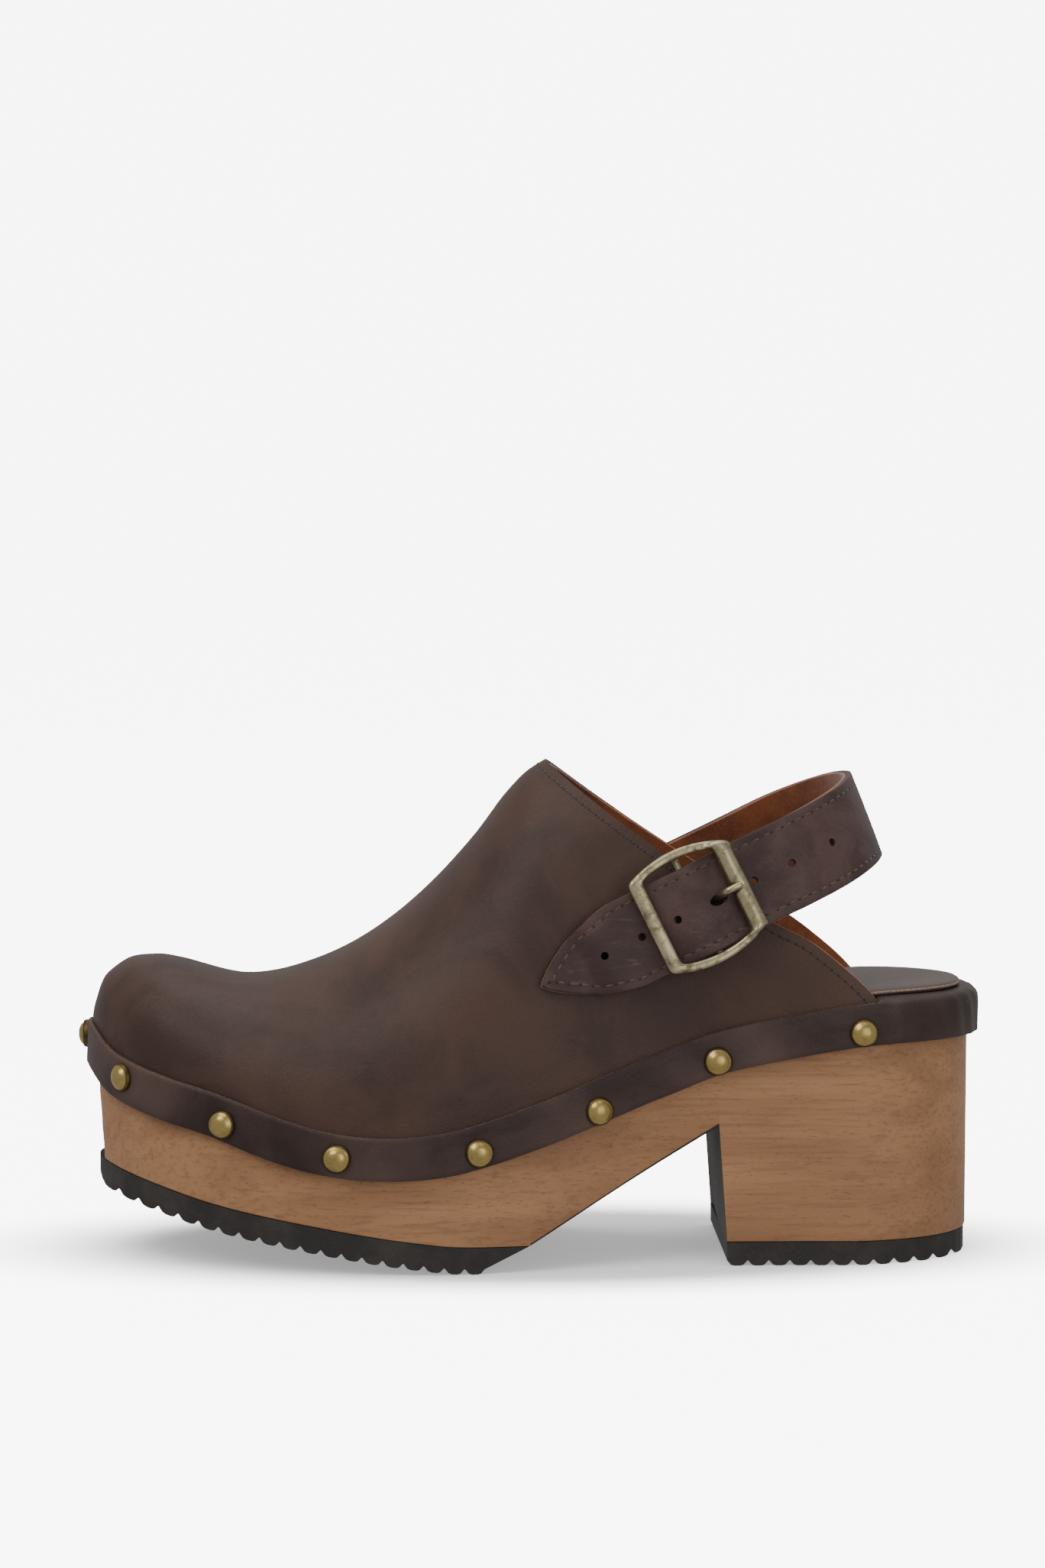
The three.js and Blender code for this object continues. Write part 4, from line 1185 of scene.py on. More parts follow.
@dataclass
class Upper:
    """Leather vamp with its lining, open at the back and nailed down under the band."""

    leather: float = 1.3
    lining: float = 0.95
    skirt: float = 8.0
    across: int = 150
    along: int = 150
    grip: float = 1.8

    def collar_station(self, angle: float) -> float:
        """Return the station at which the surface meets the collar, for an angle."""
        low, high = LINES.throat, LINES.rear
        for _ in range(40):
            x = (low + high) / 2
            if LINES.arch(x, angle)[2] < LINES.collar(x):
                low = x
            else:
                high = x
        return (low + high) / 2

    def grid(self) -> Points:
        """Return the outer face: rows from the toe to the collar, columns from side to side."""
        angles = np.linspace(0, math.pi, self.across + 1)
        angles = angles - 0.18 * np.sin(4 * angles) / 4
        drops = [self.skirt, self.skirt * 0.66, self.skirt * 0.33, self.skirt * 0.1]
        shares = np.linspace(0, 1, self.along + 1) ** self.grip
        columns = []
        for angle in angles:
            end = self.collar_station(angle)
            columns.append([LINES.arch(lerp(-1.5, end, share), angle) for share in shares])
        columns = np.array(columns)
        left = [columns[0] - (0, 0, drop) for drop in drops]
        right = [columns[-1] - (0, 0, drop) for drop in reversed(drops)]
        rows = np.vstack([np.array(left), columns, np.array(right)]).transpose(1, 0, 2)
        return self.creased(rows)

    @staticmethod
    def creased(rows: Points) -> Points:
        """Soften the surface with slight swells, as on worked leather."""
        x, y, z = rows[..., 0], rows[..., 1], rows[..., 2]
        swell = 0.22 * np.sin(x / 17 + y / 23) * np.sin(z / 19 - 0.7) + 0.14 * np.sin(x / 9.5 - z / 13 + 1)
        fade = np.clip((z - np.vectorize(LINES.top_edge)(x)) / 14, 0, 1)
        out = rows.copy()
        out[..., 2] += swell * fade
        return out

    @staticmethod
    def normals(rows: Points) -> Points:
        """Return the outward normals of a grid of points."""
        along = np.gradient(rows, axis=0)
        across = np.gradient(rows, axis=1)
        normal = np.cross(along, across)
        size = np.linalg.norm(normal, axis=2, keepdims=True)
        normal = np.where(size > 1e-9, normal / np.maximum(size, 1e-9), (0, 0, 1.0))
        middle = normal[len(normal) // 2, normal.shape[1] // 2]
        return normal if middle[2] > 0 else -normal

    def shell(self, name: str, rows: Points, outer: float, inner: float, reach: float) -> bpy.types.Object:
        """Make a closed skin between two depths under a grid.

        Args:
            name: the piece's name.
            rows: the grid in millimetres.
            outer: depth of the outer face.
            inner: depth of the inner face.
            reach: how far the rim stands beyond the grid's last row.

        Returns:
            The skin, with a rounded rim.
        """
        normal = self.normals(rows)
        ahead = rows[-1] - rows[-2]
        ahead /= np.maximum(np.linalg.norm(ahead, axis=1, keepdims=True), 1e-9)
        half = (inner - outer) / 2
        layers = [rows[k] - normal[k] * outer for k in range(len(rows))]
        for turn in (0.12, 0.3, 0.5, 0.7, 0.88):
            angle = math.pi * turn
            depth = outer + half * (1 - math.cos(angle))
            roll = reach + (math.sin(angle) - 1) * half * 0.8
            layers.append(rows[-1] - normal[-1] * depth + ahead * roll)
        layers += [rows[k] - normal[k] * inner for k in range(len(rows) - 1, -1, -1)]
        grid = np.array(layers)
        shift = np.array((LINES.middle, 0, 0))
        piece = Shaping.sheet(name, (grid - shift) * MM)
        Shaping.smooth(piece, 60)
        return piece

    def build(self) -> tuple[bpy.types.Object, bpy.types.Object, Points]:
        """Return the leather, the lining and the collar rows that the stitching follows."""
        rows = self.grid()
        leather = self.shell("vamp_leather", rows, 0.0, self.leather, 0.0)
        low = self.leather + 0.08
        lining = self.shell("vamp_lining_skin", rows, low, low + self.lining, 0.25)
        return leather, lining, rows


# ---------------------------------------------------------------- strap


@dataclass(frozen=True)
class StrapRun:
    """Course of the heel strap, measured in millimetres from its free tip."""

    width: float = 25.6
    pitch: float = math.radians(25.5)
    back_height: float = 50.6
    back: float = 220.31
    back_lean: float = math.radians(-4)
    loop_half: float = 33.5
    hinge: float = 198.5
    tip: float = 127.0
    tip_length: float = 34.0
    end_length: float = 12.0
    sewn_end: float = 141.0
    buckle: float = 171.5
    buckle_length: float = 31.5
    tab_length: float = 24.0
    over: float = 5.9
    rest: float = 0.6

    def height(self, x: float) -> float:
        """Return the height of the strap's centre line at a station."""
        return LINES.heel_top + self.back_height - (self.back - x) * math.tan(self.pitch)

    def beside(self, x: float, side: int, lift: float) -> Triple:
        """Return a point off the vamp's side at a station."""
        z = self.height(x)
        return (x, LINES.vamp_side(x, z, side) + side * lift, z)

    def round_heel(self, share: float, half: float) -> Triple:
        """Return a point of the loop behind the heel."""
        x = lerp(self.hinge, self.back, share)
        return (x, half * self.loop_half, self.height(x))

    @cached_property
    def route(self) -> Points:
        """Inner face's centre line, evenly spaced, with its distance from the tip in a fourth column."""
        front = self.buckle - self.tab_length
        quarter = self.buckle_length / 4
        keys = [
            self.beside(self.tip, -1, self.rest),
            self.beside(lerp(self.tip, front, 0.6), -1, self.rest),
            self.beside(front - 3, -1, 2.7),
            self.beside(self.buckle - 2 * quarter, -1, 3.2),
            self.beside(self.buckle - quarter, -1, self.over - 1.3),
            self.beside(self.buckle, -1, self.over),
            self.beside(self.buckle + quarter, -1, self.over - 1.8),
            self.beside(self.buckle + 2 * quarter, -1, 2.2),
        ]
        bends = [(0, -1), (0.45, -0.84), (0.83, -0.51), (1, 0), (0.83, 0.51), (0.45, 0.84), (0, 1)]
        keys += [self.round_heel(share, half) for share, half in bends]
        keys += [
            self.beside(lerp(self.hinge, self.sewn_end, 0.3), 1, 1.6),
            self.beside(lerp(self.hinge, self.sewn_end, 0.65), 1, self.rest),
            self.beside(self.sewn_end, 1, self.rest),
        ]
        points = spline(keys, 3400, power=0.5)
        gone = np.concatenate([[0], np.cumsum(np.linalg.norm(np.diff(points, axis=0), axis=1))])
        even = np.linspace(0, gone[-1], 1201)
        return np.stack([np.interp(even, gone, points[:, k]) for k in range(3)] + [even], 1)

    def lean(self, point: Points) -> float:
        """Return how far the strap leans in at a point of its route, in radians."""
        side = -1 if point[1] < 0 else 1
        station = min(point[0], self.hinge - 8)
        reach = self.width / 2 * math.cos(self.pitch)
        low, high = (
            abs(LINES.vamp_side(station + shift, self.height(station) + rise, side))
            for rise, shift in ((-reach, 5), (reach, -5))
        )
        lean = math.atan2(low - high, 2 * reach)
        return lerp(lean, self.back_lean, smoothstep(float(point[0]), self.hinge - 8, self.back))

    @cached_property
    def turns(self) -> tuple[Points, Points, Points]:
        """Unit vectors along, across and out of the strap at each point of the route."""
        along = np.gradient(self.route[:, :3], axis=0)
        along /= np.linalg.norm(along, axis=1, keepdims=True)
        up = np.array((-math.sin(self.pitch), 0, math.cos(self.pitch)))
        across, outward = [], []
        for tangent, point in zip(along, self.route):
            out = np.cross(tangent, up)
            out /= np.linalg.norm(out)
            angle = -self.lean(point)
            across.append(up * math.cos(angle) + np.cross(tangent, up) * math.sin(angle))
            outward.append(out * math.cos(angle) + np.cross(tangent, out) * math.sin(angle))
        return along, np.array(across), np.array(outward)

    def frame(self, gone: float) -> tuple[Points, Points, Points, Points]:
        """Return the route's point and its three directions at a distance from the tip."""
        even = self.route[:, 3]
        spot = np.array([np.interp(gone, even, self.route[:, k]) for k in range(3)])
        turned = []
        for vectors in self.turns:
            vector = np.array([np.interp(gone, even, vectors[:, k]) for k in range(3)])
            turned.append(vector / np.linalg.norm(vector))
        return spot, *turned

    def spot(self, gone: float, across: float, depth: float) -> Vector:
        """Return a model point of the strap, at a distance from the tip, across and out."""
        spot, _, up, out = self.frame(gone)
        return Vector(LINES.place(*(spot + up * across + out * depth)))

    @property
    def length(self) -> float:
        """Length of the strap."""
        return float(self.route[-1, 3])

    def gone_at(self, x: float, side: int) -> float:
        """Return the distance from the tip at which the strap passes a station."""
        run = self.route[self.route[:, 1] * side > 0]
        order = np.argsort(run[:, 0])
        return float(np.interp(x, run[order, 0], run[order, 3]))

    def half(self, gone: float) -> float:
        """Return half of the strap's width at a distance from the tip."""
        half = self.width / 2
        if gone < self.tip_length:
            tip = (half + 0.5) * math.sin(gone / self.tip_length * math.pi / 2) ** 0.75
            return max(min(half, tip), 0.3)
        spare = self.length - gone
        if spare < self.end_length:
            radius = 0.62 * self.width
            return min(half, math.sqrt(max(radius**2 - (radius - spare) ** 2, 0.0)) + 0.3)
        return half


@dataclass
class Strap:
    """Heel strap of two leathers sewn together, punched along its free end."""

    run: StrapRun = field(default_factory=StrapRun)
    lining: float = 1.15
    top: float = 2.85
    first_hole: float = 19.9
    hole_pitch: float = 11.75
    hole_count: int = 7
    hole_radius: float = 1.15
    prong_hole: int = 3
    prong_slot: float = 5.6
    steps: int = 420
    face: tuple[tuple[float, float], ...] = (
        (0.0, 0.78),
        (0.12, 0.94),
        (0.5, 1.0),
        (1.4, 1.02),
        (2.1, 0.99),
        (2.5, 0.93),
        (2.9, 0.99),
        (3.8, 1.03),
        (6.5, 1.05),
        (9.5, 1.06),
    )
    back: tuple[tuple[float, float], ...] = ((0.0, 0.25), (0.15, 0.04), (0.6, 0.0), (6.0, 0.0))

    def gones(self) -> Points:
        """Return distances from the tip, closer together at both ends."""
        run = self.run
        tip = run.tip_length * np.linspace(0, 1, 90)[:-1] ** 2
        body = np.linspace(run.tip_length, run.length - run.end_length, self.steps)
        end = run.length - run.end_length * np.linspace(1, 0, 40)[1:] ** 2
        return np.concatenate([tip, body, end])

    def section(self, half: float, low: float, high: float, plain: bool) -> list[tuple[float, float]]:
        """Return the outline across a layer, as (across, depth) pairs."""
        thick = high - low
        right = [(max(half - edge, 0.0), low + share * thick) for edge, share in self.face]
        if plain:
            right = [(across, min(depth, high)) for across, depth in right]
        outer = [(-across, depth) for across, depth in right] + right[::-1]
        under = [(max(half - edge, 0.0), low + share * thick) for edge, share in self.back]
        return outer + under + [(-across, depth) for across, depth in under[::-1]]

    def layer(self, name: str, low: float, high: float, plain: bool = False) -> bpy.types.Object:
        """Make one leather of the strap as a closed solid."""
        rings = []
        for gone in self.gones():
            spot, _, up, out = self.run.frame(float(gone))
            half = self.run.half(float(gone))
            section = self.section(half, low, high, plain)
            ring = [spot + up * across + out * depth for across, depth in section]
            rings.append(ring + ring[:1])
        shift = np.array((LINES.middle, 0, 0))
        piece = Shaping.sheet(name, (np.array(rings) - shift) * MM)
        Shaping.mend(piece, bpy.ops.mesh.fill_holes, sides=0)
        return piece

    def hole_spots(self) -> list[float]:
        """Return the distance from the tip of each punched hole."""
        spots = []
        for i in range(self.hole_count):
            x = self.run.tip + (self.first_hole + i * self.hole_pitch) * math.cos(self.run.pitch)
            spots.append(self.run.gone_at(x, -1))
        return spots

    def punch(self, piece: bpy.types.Object, grow: float) -> None:
        """Cut the holes through a layer."""
        cutters = []
        for i, gone in enumerate(self.hole_spots()):
            _, along, _, out = self.run.frame(gone)
            radius = (self.hole_radius + grow) * MM
            bpy.ops.mesh.primitive_cylinder_add(vertices=28, radius=radius, depth=12 * MM)
            cutter = bpy.context.object
            if i == self.prong_hole:
                cutter.data.transform(Matrix.Diagonal((self.prong_slot / 2 / self.hole_radius, 1.4, 1, 1)))
            spot = self.run.spot(gone, 0, 1.5)
            cutter.data.transform(Shaping.axes(spot, Vector(along), Vector(out)))
            cutters.append(cutter)
        cutter = Shaping.join(cutters, "punch")
        Shaping.apply(piece, "BOOLEAN", operation="DIFFERENCE", object=cutter, solver="EXACT")
        bpy.data.objects.remove(cutter)

    def build(self, finishes: "Finishes") -> list[bpy.types.Object]:
        """Return the leather and the lining."""
        leather = self.layer("strap_leather", self.lining + 0.03, self.top)
        lining = self.layer("strap_lining", 0.0, self.lining, plain=True)
        for piece, material, grow in ((leather, finishes.strap, 0.0), (lining, finishes.lining, -0.05)):
            self.punch(piece, grow)
            Shaping.dress(piece, material)
            Shaping.smooth(piece, 40)
        return [leather, lining]


# ---------------------------------------------------------------- stitching


@dataclass
class Stitching:
    """A row of stitches sunk into leather, with a dark mark of painted shade at each needle hole."""

    pitch: float
    length: float
    width: float
    height: float
    hole: float
    sink: float = 0.0

    def template(self, name: str, size: Triple, faces: int) -> bpy.types.Object:
        """Make a small rounded body."""
        bpy.ops.mesh.primitive_uv_sphere_add(segments=faces, ring_count=max(faces // 2, 4), radius=1)
        piece = bpy.context.object
        piece.name = name
        piece.data.transform(Matrix.Diagonal((*(part * MM / 2 for part in size), 1)))
        Shaping.smooth(piece, 80)
        return piece

    def spaced(self, line: list[Vector]) -> list[tuple[Vector, Vector]]:
        """Return places a pitch apart along a line, each with its direction."""
        points = np.array(line)
        gone = np.concatenate([[0], np.cumsum(np.linalg.norm(np.diff(points, axis=0), axis=1))]) / MM
        count = max(int(gone[-1] / self.pitch), 1)
        places = (np.arange(count) + 0.5) * gone[-1] / count
        found = []
        for place in places:
            spots = [
                Vector([np.interp(place + step, gone, points[:, k]) for k in range(3)])
                for step in (-self.length / 2, 0, self.length / 2)
            ]
            found.append((spots[1], spots[2] - spots[0]))
        return found

    def sew(
        self, name: str, line: list[Vector], outward: Callable[[Vector], tuple[Vector, Vector]]
    ) -> tuple[bpy.types.Object, bpy.types.Object]:
        """Sew along a line.

        Args:
            name: the row's name.
            line: points along the row, in metres.
            outward: gives the surface point and normal next to a point.

        Returns:
            The threads and the needle holes, flat dark marks of painted shade.
        """
        threads, holes = [], []
        for spot, along in self.spaced(line):
            seat, normal = outward(spot)
            threads.append(Shaping.axes(seat + normal * self.sink * MM, along, normal))
            mouth = seat + along.normalized() * (self.length / 2 + self.hole / 4) * MM
            mouth_seat, mouth_normal = outward(mouth)
            holes.append(Shaping.axes(mouth_seat, along, mouth_normal))
        thread = self.template(f"{name}_thread", (self.length, self.width, self.height), 8)
        # Each needle hole is a flat dark disc on the surface, painted shade where a hole would be.
        mouth = self.template(f"{name}_hole", (self.hole, self.hole * 0.9, 0.3), 8)
        return (
            Shaping.copies(thread, threads, f"{name}_threads"),
            Shaping.copies(mouth, holes, f"{name}_holes"),
        )


def seat_on(piece: bpy.types.Object) -> Callable[[Vector], tuple[Vector, Vector]]:
    """Return a function that gives the nearest point of a piece and its normal."""

    def nearest(spot: Vector) -> tuple[Vector, Vector]:
        """Return the nearest point and its normal."""
        _, seat, normal, _ = piece.closest_point_on_mesh(spot)
        return seat, normal

    return nearest


def collar_line(rows: Points, inset: float) -> list[Vector]:
    """Return the line that runs an inset inside the collar's edge."""
    edge = rows[-1]
    ahead = np.gradient(edge, axis=0)
    ahead /= np.linalg.norm(ahead, axis=1, keepdims=True)
    back = rows[-4] - edge
    back -= ahead * np.sum(back * ahead, axis=1, keepdims=True)
    back /= np.linalg.norm(back, axis=1, keepdims=True)
    line = edge + back * inset
    return [Vector(LINES.place(*point)) for point in line]


def strap_line(run: StrapRun, inset: float, depth: float) -> list[Vector]:
    """Return the line sewn round the strap's edge, from one side of the sewn end to the other."""
    tip = run.tip_length * np.linspace(0, 1, 80)[:-1] ** 1.5
    gones = np.concatenate([tip, np.linspace(run.tip_length, run.length - 4, 300)])
    halves = np.array([run.half(float(gone)) for gone in gones])
    slope = np.gradient(halves, gones)
    size = np.hypot(1, slope)
    moved, inner = gones + slope / size * inset, halves - inset / size
    keep = (inner > 0) & (moved > 0)
    upper = list(zip(moved[keep], inner[keep]))
    flat = [(gone, -across) for gone, across in reversed(upper)] + upper
    return [run.spot(float(gone), float(across), depth) for gone, across in flat]


# ---------------------------------------------------------------- buckle


@dataclass
class Buckle:
    """Brass buckle with a flat front bar, bowed rails, a half-round rear bar and a prong."""

    length: float = 31.5
    width: float = 34.5
    front_bar: float = 4.2
    rear_bar: float = 5.3
    rail: float = 2.6
    front_span: float = 28.0
    rear_span: float = 26.0
    low: float = 7.7
    thickness: float = 2.6
    pin: float = 2.2
    pin_height: float = 3.0
    prong: float = 2.2
    samples: int = 40

    @cached_property
    def placing(self) -> Matrix:
        """The buckle's own frame: x along the strap, y up the bar it rocks on, z out of its flat face."""
        joint = next(joint for joint in frame["joints"] if joint["name"] == "buckle_rock")
        flat = max(frame["nodes"]["buckle_frame"].data.polygons, key=lambda face: face.area)
        up = Vector(joint["axis"])
        out = flat.normal * (1 if flat.normal.y < 0 else -1)
        turned = Matrix((up.cross(out), up, out)).transposed().to_4x4()
        turned.translation = Vector(joint["pos_m"]) - out * self.pin_height * MM
        return turned

    def seated(self, piece: bpy.types.Object) -> bpy.types.Object:
        """Move a piece from the buckle's own frame in millimetres into the model."""
        piece.data.transform(self.placing @ Matrix.Scale(MM, 4))
        return piece

    def border(self, inset: float) -> Points:
        """Return the frame's outline, 0 outside and 1 inside, with rounded corners."""
        front = -self.length / 2 + inset * self.front_bar
        rear = self.length / 2 - inset * self.rear_bar
        bow = self.width / 2 - inset * self.rail
        f = self.front_span / 2 - inset * self.rail * 0.4
        r = self.rear_span / 2 - inset * self.rail * 0.1
        peak = 2 * bow - (f + r) / 2
        t = np.linspace(0, 1, self.samples, endpoint=False)
        bowed = (1 - t) ** 2 * r + 2 * t * (1 - t) * peak + t**2 * f
        lower_bowed = -((1 - t) ** 2 * f + 2 * t * (1 - t) * peak + t**2 * r)
        rail = np.stack([(1 - t) ** 2 * rear + t**2 * front, bowed], 1)
        back = np.stack([np.full(len(t), rear), -r + 2 * r * t], 1)
        fore = np.stack([np.full(len(t), front), f - 2 * f * t], 1)
        lower = np.stack([(1 - t) ** 2 * front + t**2 * rear, lower_bowed], 1)
        points = np.vstack([back, rail, fore, lower])
        for _ in range(4):
            points = (np.roll(points, 1, 0) + 2 * points + np.roll(points, -1, 0)) / 4
        return points

    def frame_ring(self) -> bpy.types.Object:
        """Make the frame, domed on its rails and rear bar and flat on its front bar."""
        outer, inner = self.border(0), self.border(1)
        shares = [0, 0, 0.05, 0.15, 0.3, 0.5, 0.7, 0.85, 0.95, 1, 1, 0.92, 0.5, 0.08]
        rises = [0.3, 0.68, 0.84, 0.94, 0.99, 1, 0.99, 0.94, 0.84, 0.68, 0.3, 0.06, 0, 0.06]
        rows = []
        for share, rise in zip(shares, rises):
            ring = []
            for a, b in zip(inner, outer):
                x, y = a + (b - a) * share
                rear = smoothstep(float(b[0]), 10, 14)
                front = smoothstep(float(-b[0]), 13.2, 14.6)
                dome = 4 * share * (1 - share)
                lift = rise * self.thickness + (dome * 1.2 * rear + 0.35 * front) * (rise > 0.5)
                notch = 0.9 * math.exp(-((y / 1.25) ** 2)) * rear * (1 - share) * (rise > 0.5)
                ring.append((x, y, self.low + lift - notch))
            rows.append(np.array(ring))
        rows.append(rows[0])
        return Shaping.sheet("buckle_ring", wrapped(rows), weld=False)

    def rod(self, name: str, points: list[Triple], radii: list[float], sides: int = 18) -> bpy.types.Object:
        """Make a round rod along a smooth line, with rounded ends."""
        line = spline(points, 10 * (len(points) - 1), power=0.5)
        wide = np.interp(np.linspace(0, 1, len(line)), np.linspace(0, 1, len(radii)), radii)
        ahead = np.gradient(line, axis=0)
        ahead /= np.linalg.norm(ahead, axis=1, keepdims=True)
        side = np.cross(ahead, (0.02, 1.0, 0.03) if abs(ahead[0][1]) < 0.9 else (1.0, 0.02, 0.03))
        side /= np.linalg.norm(side, axis=1, keepdims=True)
        other = np.cross(ahead, side)
        rings = []
        caps = [(0, -1.0, 0.0), (0, -0.85, 0.5), (0, -0.5, 0.86)]
        ends = caps + [(k, 0.0, 1.0) for k in range(len(line))] + [(-1, -b, c) for _, b, c in reversed(caps)]
        for k, shift, share in ends:
            centre = line[k] + ahead[k] * shift * wide[k] * 0.6
            angles = np.linspace(0, 2 * math.pi, sides + 1)
            spread = side[k] * np.cos(angles)[:, None] + other[k] * np.sin(angles)[:, None]
            rings.append(centre + spread * wide[k] * share)
        return Shaping.sheet(name, np.array(rings), weld=False)

    def lug(self, side: int) -> bpy.types.Object:
        """Make the post that carries one end of the centre bar."""
        span = self.width - self.rail
        top = self.low + self.thickness - 0.5
        bottom = self.pin_height - self.pin / 2 - 0.3
        bpy.ops.mesh.primitive_cube_add(size=1)
        piece = bpy.context.object
        height = top - bottom
        piece.data.transform(Matrix.Diagonal((2.6, 2.0, height, 1)))
        piece.data.transform(Matrix.Translation((0, side * span / 2, (top + bottom) / 2)))
        Shaping.apply(piece, "BEVEL", width=0.8, segments=3)
        return piece

    def build_frame(self) -> bpy.types.Object:
        """Return the frame with its centre bar."""
        reach = (self.width - self.rail) / 2
        line = [(0, y, self.pin_height) for y in (-reach, 0, reach)]
        bar = self.rod("bar", line, [self.pin / 2, self.pin / 2])
        frame_piece = Shaping.join([self.frame_ring(), bar, self.lug(-1), self.lug(1)], "buckle_brass")
        Shaping.mend(frame_piece, bpy.ops.mesh.remove_doubles, threshold=1e-4)
        Shaping.smooth(frame_piece, 40)
        return self.seated(frame_piece)

    def build_prong(self) -> bpy.types.Object:
        """Return the prong: an eye round the bar and a tapering pin."""
        h = self.pin_height
        rest = self.low + self.thickness + self.prong / 2 + 0.3
        climb = [(1.7, h), (4.1, h + 0.5), (6.6, lerp(h, rest, 0.5)), (9.0, rest - 0.4)]
        bends = [*climb, (11.0, rest), (13.0, rest - 0.15)]
        stem = self.rod("stem", [(x, 0, z) for x, z in bends], [1.2, 1.15, 1.12, 1.1, 1.05, 0.95])
        bpy.ops.mesh.primitive_torus_add(
            major_radius=1.95, minor_radius=0.62, major_segments=32, minor_segments=12
        )
        eye = bpy.context.object
        upright = Matrix.Rotation(math.pi / 2, 4, "X") @ Matrix.Scale(2.2, 4, (0, 0, 1))
        eye.data.transform(Matrix.Translation((0, 0, h)) @ upright)
        piece = Shaping.join([stem, eye], "buckle_tongue")
        Shaping.mend(piece, bpy.ops.mesh.remove_doubles, threshold=1e-4)
        Shaping.smooth(piece, 40)
        return self.seated(piece)


# ---------------------------------------------------------------- stage


@dataclass
class Studio:
    """Pale floor, soft light and the camera."""

    camera_spot: Triple = (-0.05328, -1.4458, 0.2678)
    yaw: float = 2.039
    pitch: float = 5.242
    roll: float = 0.162
    lens: float = 115.28
    room: float = 5.0
    wall: float = 5.0

    def floor(self, finishes: "Finishes") -> None:
        """Lay the floor, which curves up into a pale wall all round."""
        angles = np.linspace(0, 2 * math.pi, 65)
        bend = [(self.room - 1 + math.sin(t), 1 - math.cos(t)) for t in np.linspace(0, math.pi / 2, 9)]
        profile = [(0.0, 0.0), (0.6, 0.0), (self.room / 2, 0.0), *bend, (self.room, self.wall)]
        rows = [[(r * math.cos(a), r * math.sin(a), z) for a in angles] for r, z in profile]
        floor = Shaping.sheet("floor", np.array(rows))
        Shaping.smooth(floor, 60)
        floor.visible_diffuse = False
        floor.visible_glossy = False
        Shaping.dress(floor, finishes.floor)

    def light(self, name: str, spot: Triple, size: float, power: float) -> None:
        """Hang a soft square light that faces the clog."""
        bpy.ops.object.light_add(type="AREA", location=spot)
        lamp = bpy.context.object
        lamp.name = name
        lamp.data.size = size
        lamp.data.energy = power
        aim = Vector((0, 0, 0.06)) - Vector(spot)
        lamp.rotation_euler = aim.to_track_quat("-Z", "Y").to_euler()

    def world(self) -> None:
        """Fill the surroundings with even pale light."""
        world = bpy.data.worlds.new("studio")
        world.use_nodes = True
        background = world.node_tree.nodes["Background"]
        background.inputs["Color"].default_value = (1.0, 1.0, 1.0, 1.0)
        background.inputs["Strength"].default_value = 0.62
        bpy.context.scene.world = world

    def camera(self) -> None:
        """Set the camera."""
        bpy.ops.object.camera_add(location=self.camera_spot)
        camera = bpy.context.object
        yaw, pitch, roll = (math.radians(part) for part in (self.yaw, self.pitch, self.roll))
        ahead = Vector((math.sin(yaw) * math.cos(pitch), math.cos(yaw) * math.cos(pitch), -math.sin(pitch)))
        right = Vector((math.cos(yaw), -math.sin(yaw), 0))
        up = right.cross(ahead)
        right, up = right * math.cos(roll) + up * math.sin(roll), up * math.cos(roll) - right * math.sin(roll)
        turned = Matrix((right, up, -ahead)).transposed()
        camera.rotation_euler = turned.to_euler()
        camera.data.lens = self.lens
        camera.data.sensor_fit = "VERTICAL"
        camera.data.sensor_height = 36
        bpy.context.scene.camera = camera

    def build(self, finishes: "Finishes") -> None:
        """Set the whole stage."""
        self.floor(finishes)
        self.light("key", (-0.8, -0.8, 1.2), 0.9, 11)
        self.light("fill", (0.6, -1.3, 0.3), 0.9, 5)
        self.light("top", (0.1, 0.2, 1.4), 1.2, 10)
        self.world()
        self.camera()


# ---------------------------------------------------------------- assembly


def build_sole(finishes: Finishes) -> None:
    """Build the sole, its treads and the sock."""
    sole = WoodSole()
    wood = sole.build()
    sole.dress(wood, finishes)
    declare(wood, "clog", "wood", "wood_sole")
    for node in ("forefoot_tread", "heel_tread"):
        Shaping.dress(frame["nodes"][node], finishes.rubber)
    sock = Insole().build()
    Shaping.dress(sock, finishes.sock, finishes.sock_edge_highlight)
    for face in sock.data.polygons:
        # The side faces of the cover's rim take the pale colour, a painted highlight.
        face.material_index = 1 if -0.3 < face.normal.z < 0.75 else 0
    declare(sock, "clog", "sock_leather", "insole_cover")
    Shaping.dress(frame["nodes"]["insole_padding"], finishes.foam)


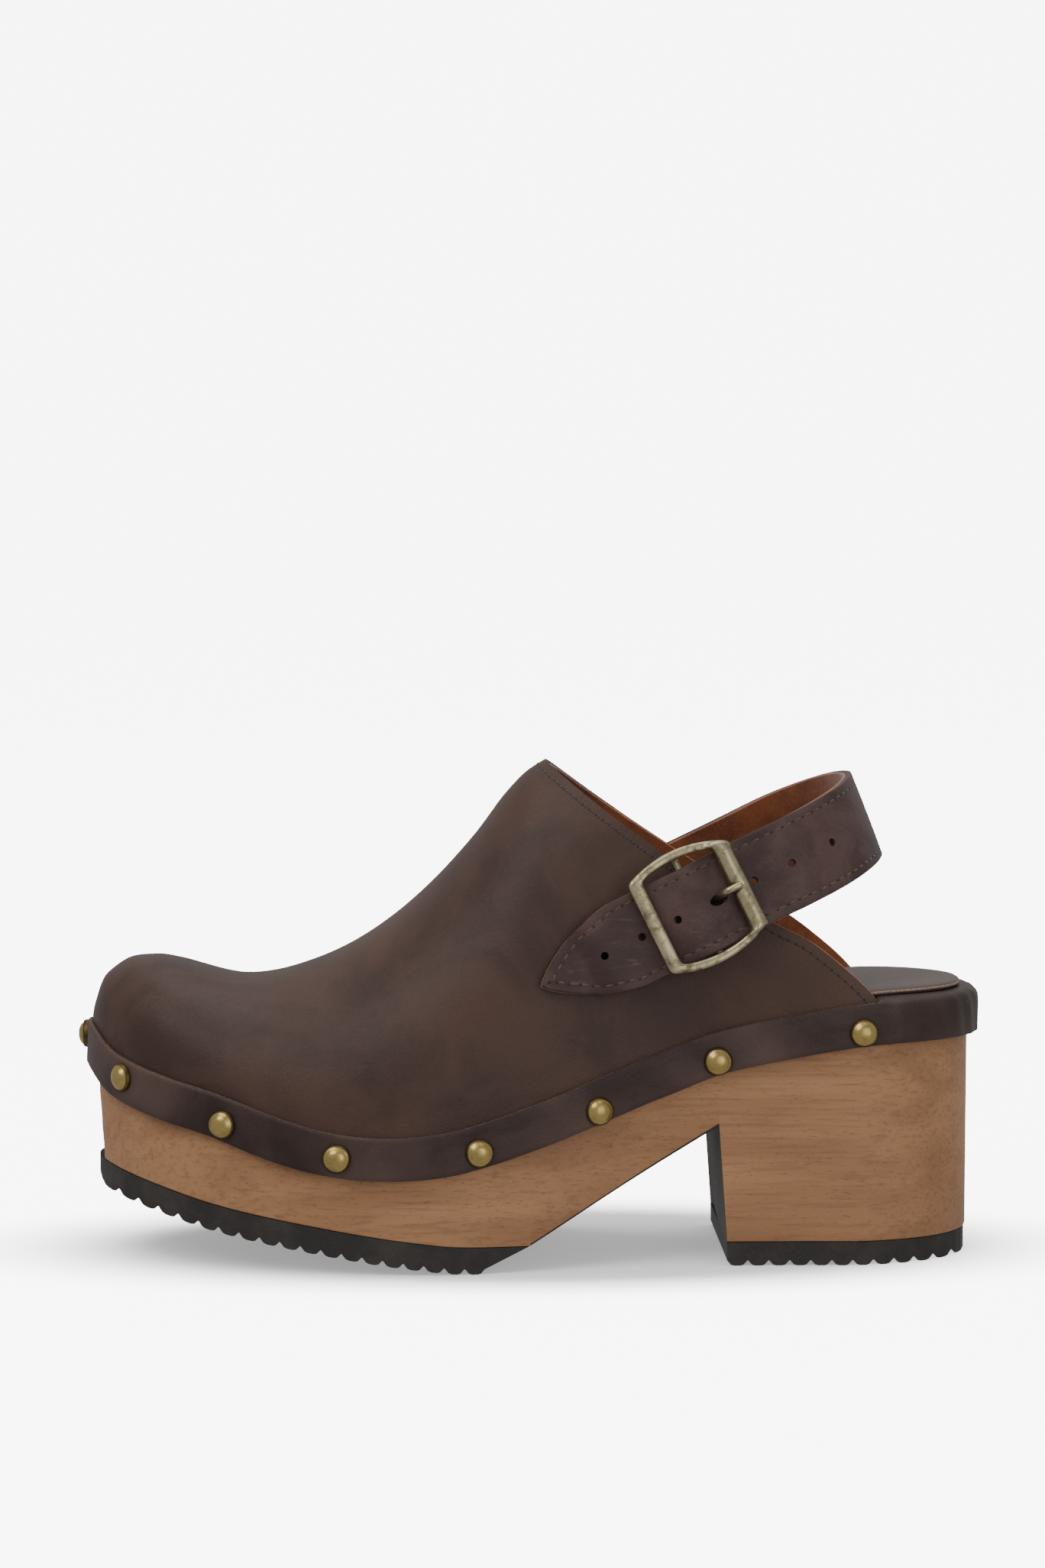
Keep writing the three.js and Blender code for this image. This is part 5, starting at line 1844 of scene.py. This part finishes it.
def build_upper(finishes: Finishes) -> None:
    """Build the vamp, its lining and stitching, the band and the studs."""
    leather, lining, rows = Upper().build()
    Shaping.dress(leather, finishes.vamp)
    Shaping.dress(lining, finishes.lining)
    declare(leather, "clog", "vamp_leather", "vamp")
    declare(lining, "clog", "lining_leather", "vamp_lining")
    Shaping.dress(frame["nodes"]["toe_puff"], finishes.foam)
    row = Stitching(pitch=2.5, length=1.6, width=0.6, height=0.4, hole=0.95)
    threads, holes = row.sew("collar", collar_line(rows, 2.7), seat_on(leather))
    for piece, material in ((threads, finishes.dark_thread), (holes, finishes.hole)):
        Shaping.dress(piece, material)
        declare(piece, "clog", "vamp_leather")
    studs = Studs()
    band = WeltBand().build(studs)
    Shaping.dress(band, finishes.band, finishes.band_edge_wear_and_highlight)
    rear = LINES.place(WeltBand.turn_front, 0, 0)[0]
    for face in band.data.polygons:
        # Upward faces of the band take the lighter colour, worn cut edge and painted highlight.
        face.material_index = 1 if face.normal.z > 0.7 and face.center.x < rear else 0
    declare(band, "clog", "band_leather", "welt_band")
    for number, head in enumerate(studs.build(finishes), 1):
        declare(head, "clog", "stud_brass", f"stud_{number:02d}")


def bend(piece: bpy.types.Object, slot: str, run: StrapRun) -> None:
    """Bake a piece of the strap's placing into its mesh."""
    z = run.height(run.hinge) * MM
    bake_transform(piece)
    LOG.info("%s bends between clog and heel_loop", piece.name)


def build_strap(finishes: Finishes) -> None:
    """Build the strap and its stitching."""
    strap = Strap()
    leather, lining = strap.build(finishes)
    row = Stitching(pitch=3.4, length=2.2, width=0.6, height=0.35, hole=1.0)
    threads, holes = row.sew("strap", strap_line(strap.run, 2.5, strap.top), seat_on(leather))
    Shaping.dress(threads, finishes.thread)
    Shaping.dress(holes, finishes.hole)
    for piece in (leather, lining, threads, holes):
        bend(piece, "lining_leather" if piece is lining else "strap_leather", strap.run)
    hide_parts("strap_tip_leather", "strap_loop_leather", "strap_sewn_leather")
    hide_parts("strap_tip_lining", "strap_loop_lining", "strap_sewn_lining")


def build_buckle(finishes: Finishes) -> None:
    """Build the buckle and its prong."""
    buckle = Buckle()
    ring, prong = buckle.build_frame(), buckle.build_prong()
    for piece, body, node in ((ring, "buckle", "buckle_frame"), (prong, "prong", "buckle_prong")):
        Shaping.dress(piece, finishes.buckle)
        declare(piece, body, "antique_brass", node)
    Shaping.dress(frame["nodes"]["buckle_tab"], finishes.strap)


def write_sizes() -> None:
    """Update the view layer."""
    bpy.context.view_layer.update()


def main() -> None:
    """Build the whole scene."""
    logging.basicConfig(level=logging.INFO, format="%(name)s: %(message)s")
    finishes = Finishes()
    build_sole(finishes)
    build_upper(finishes)
    build_strap(finishes)
    build_buckle(finishes)
    Studio().build(finishes)
    write_sizes()


if __name__ == "__main__":
    main()
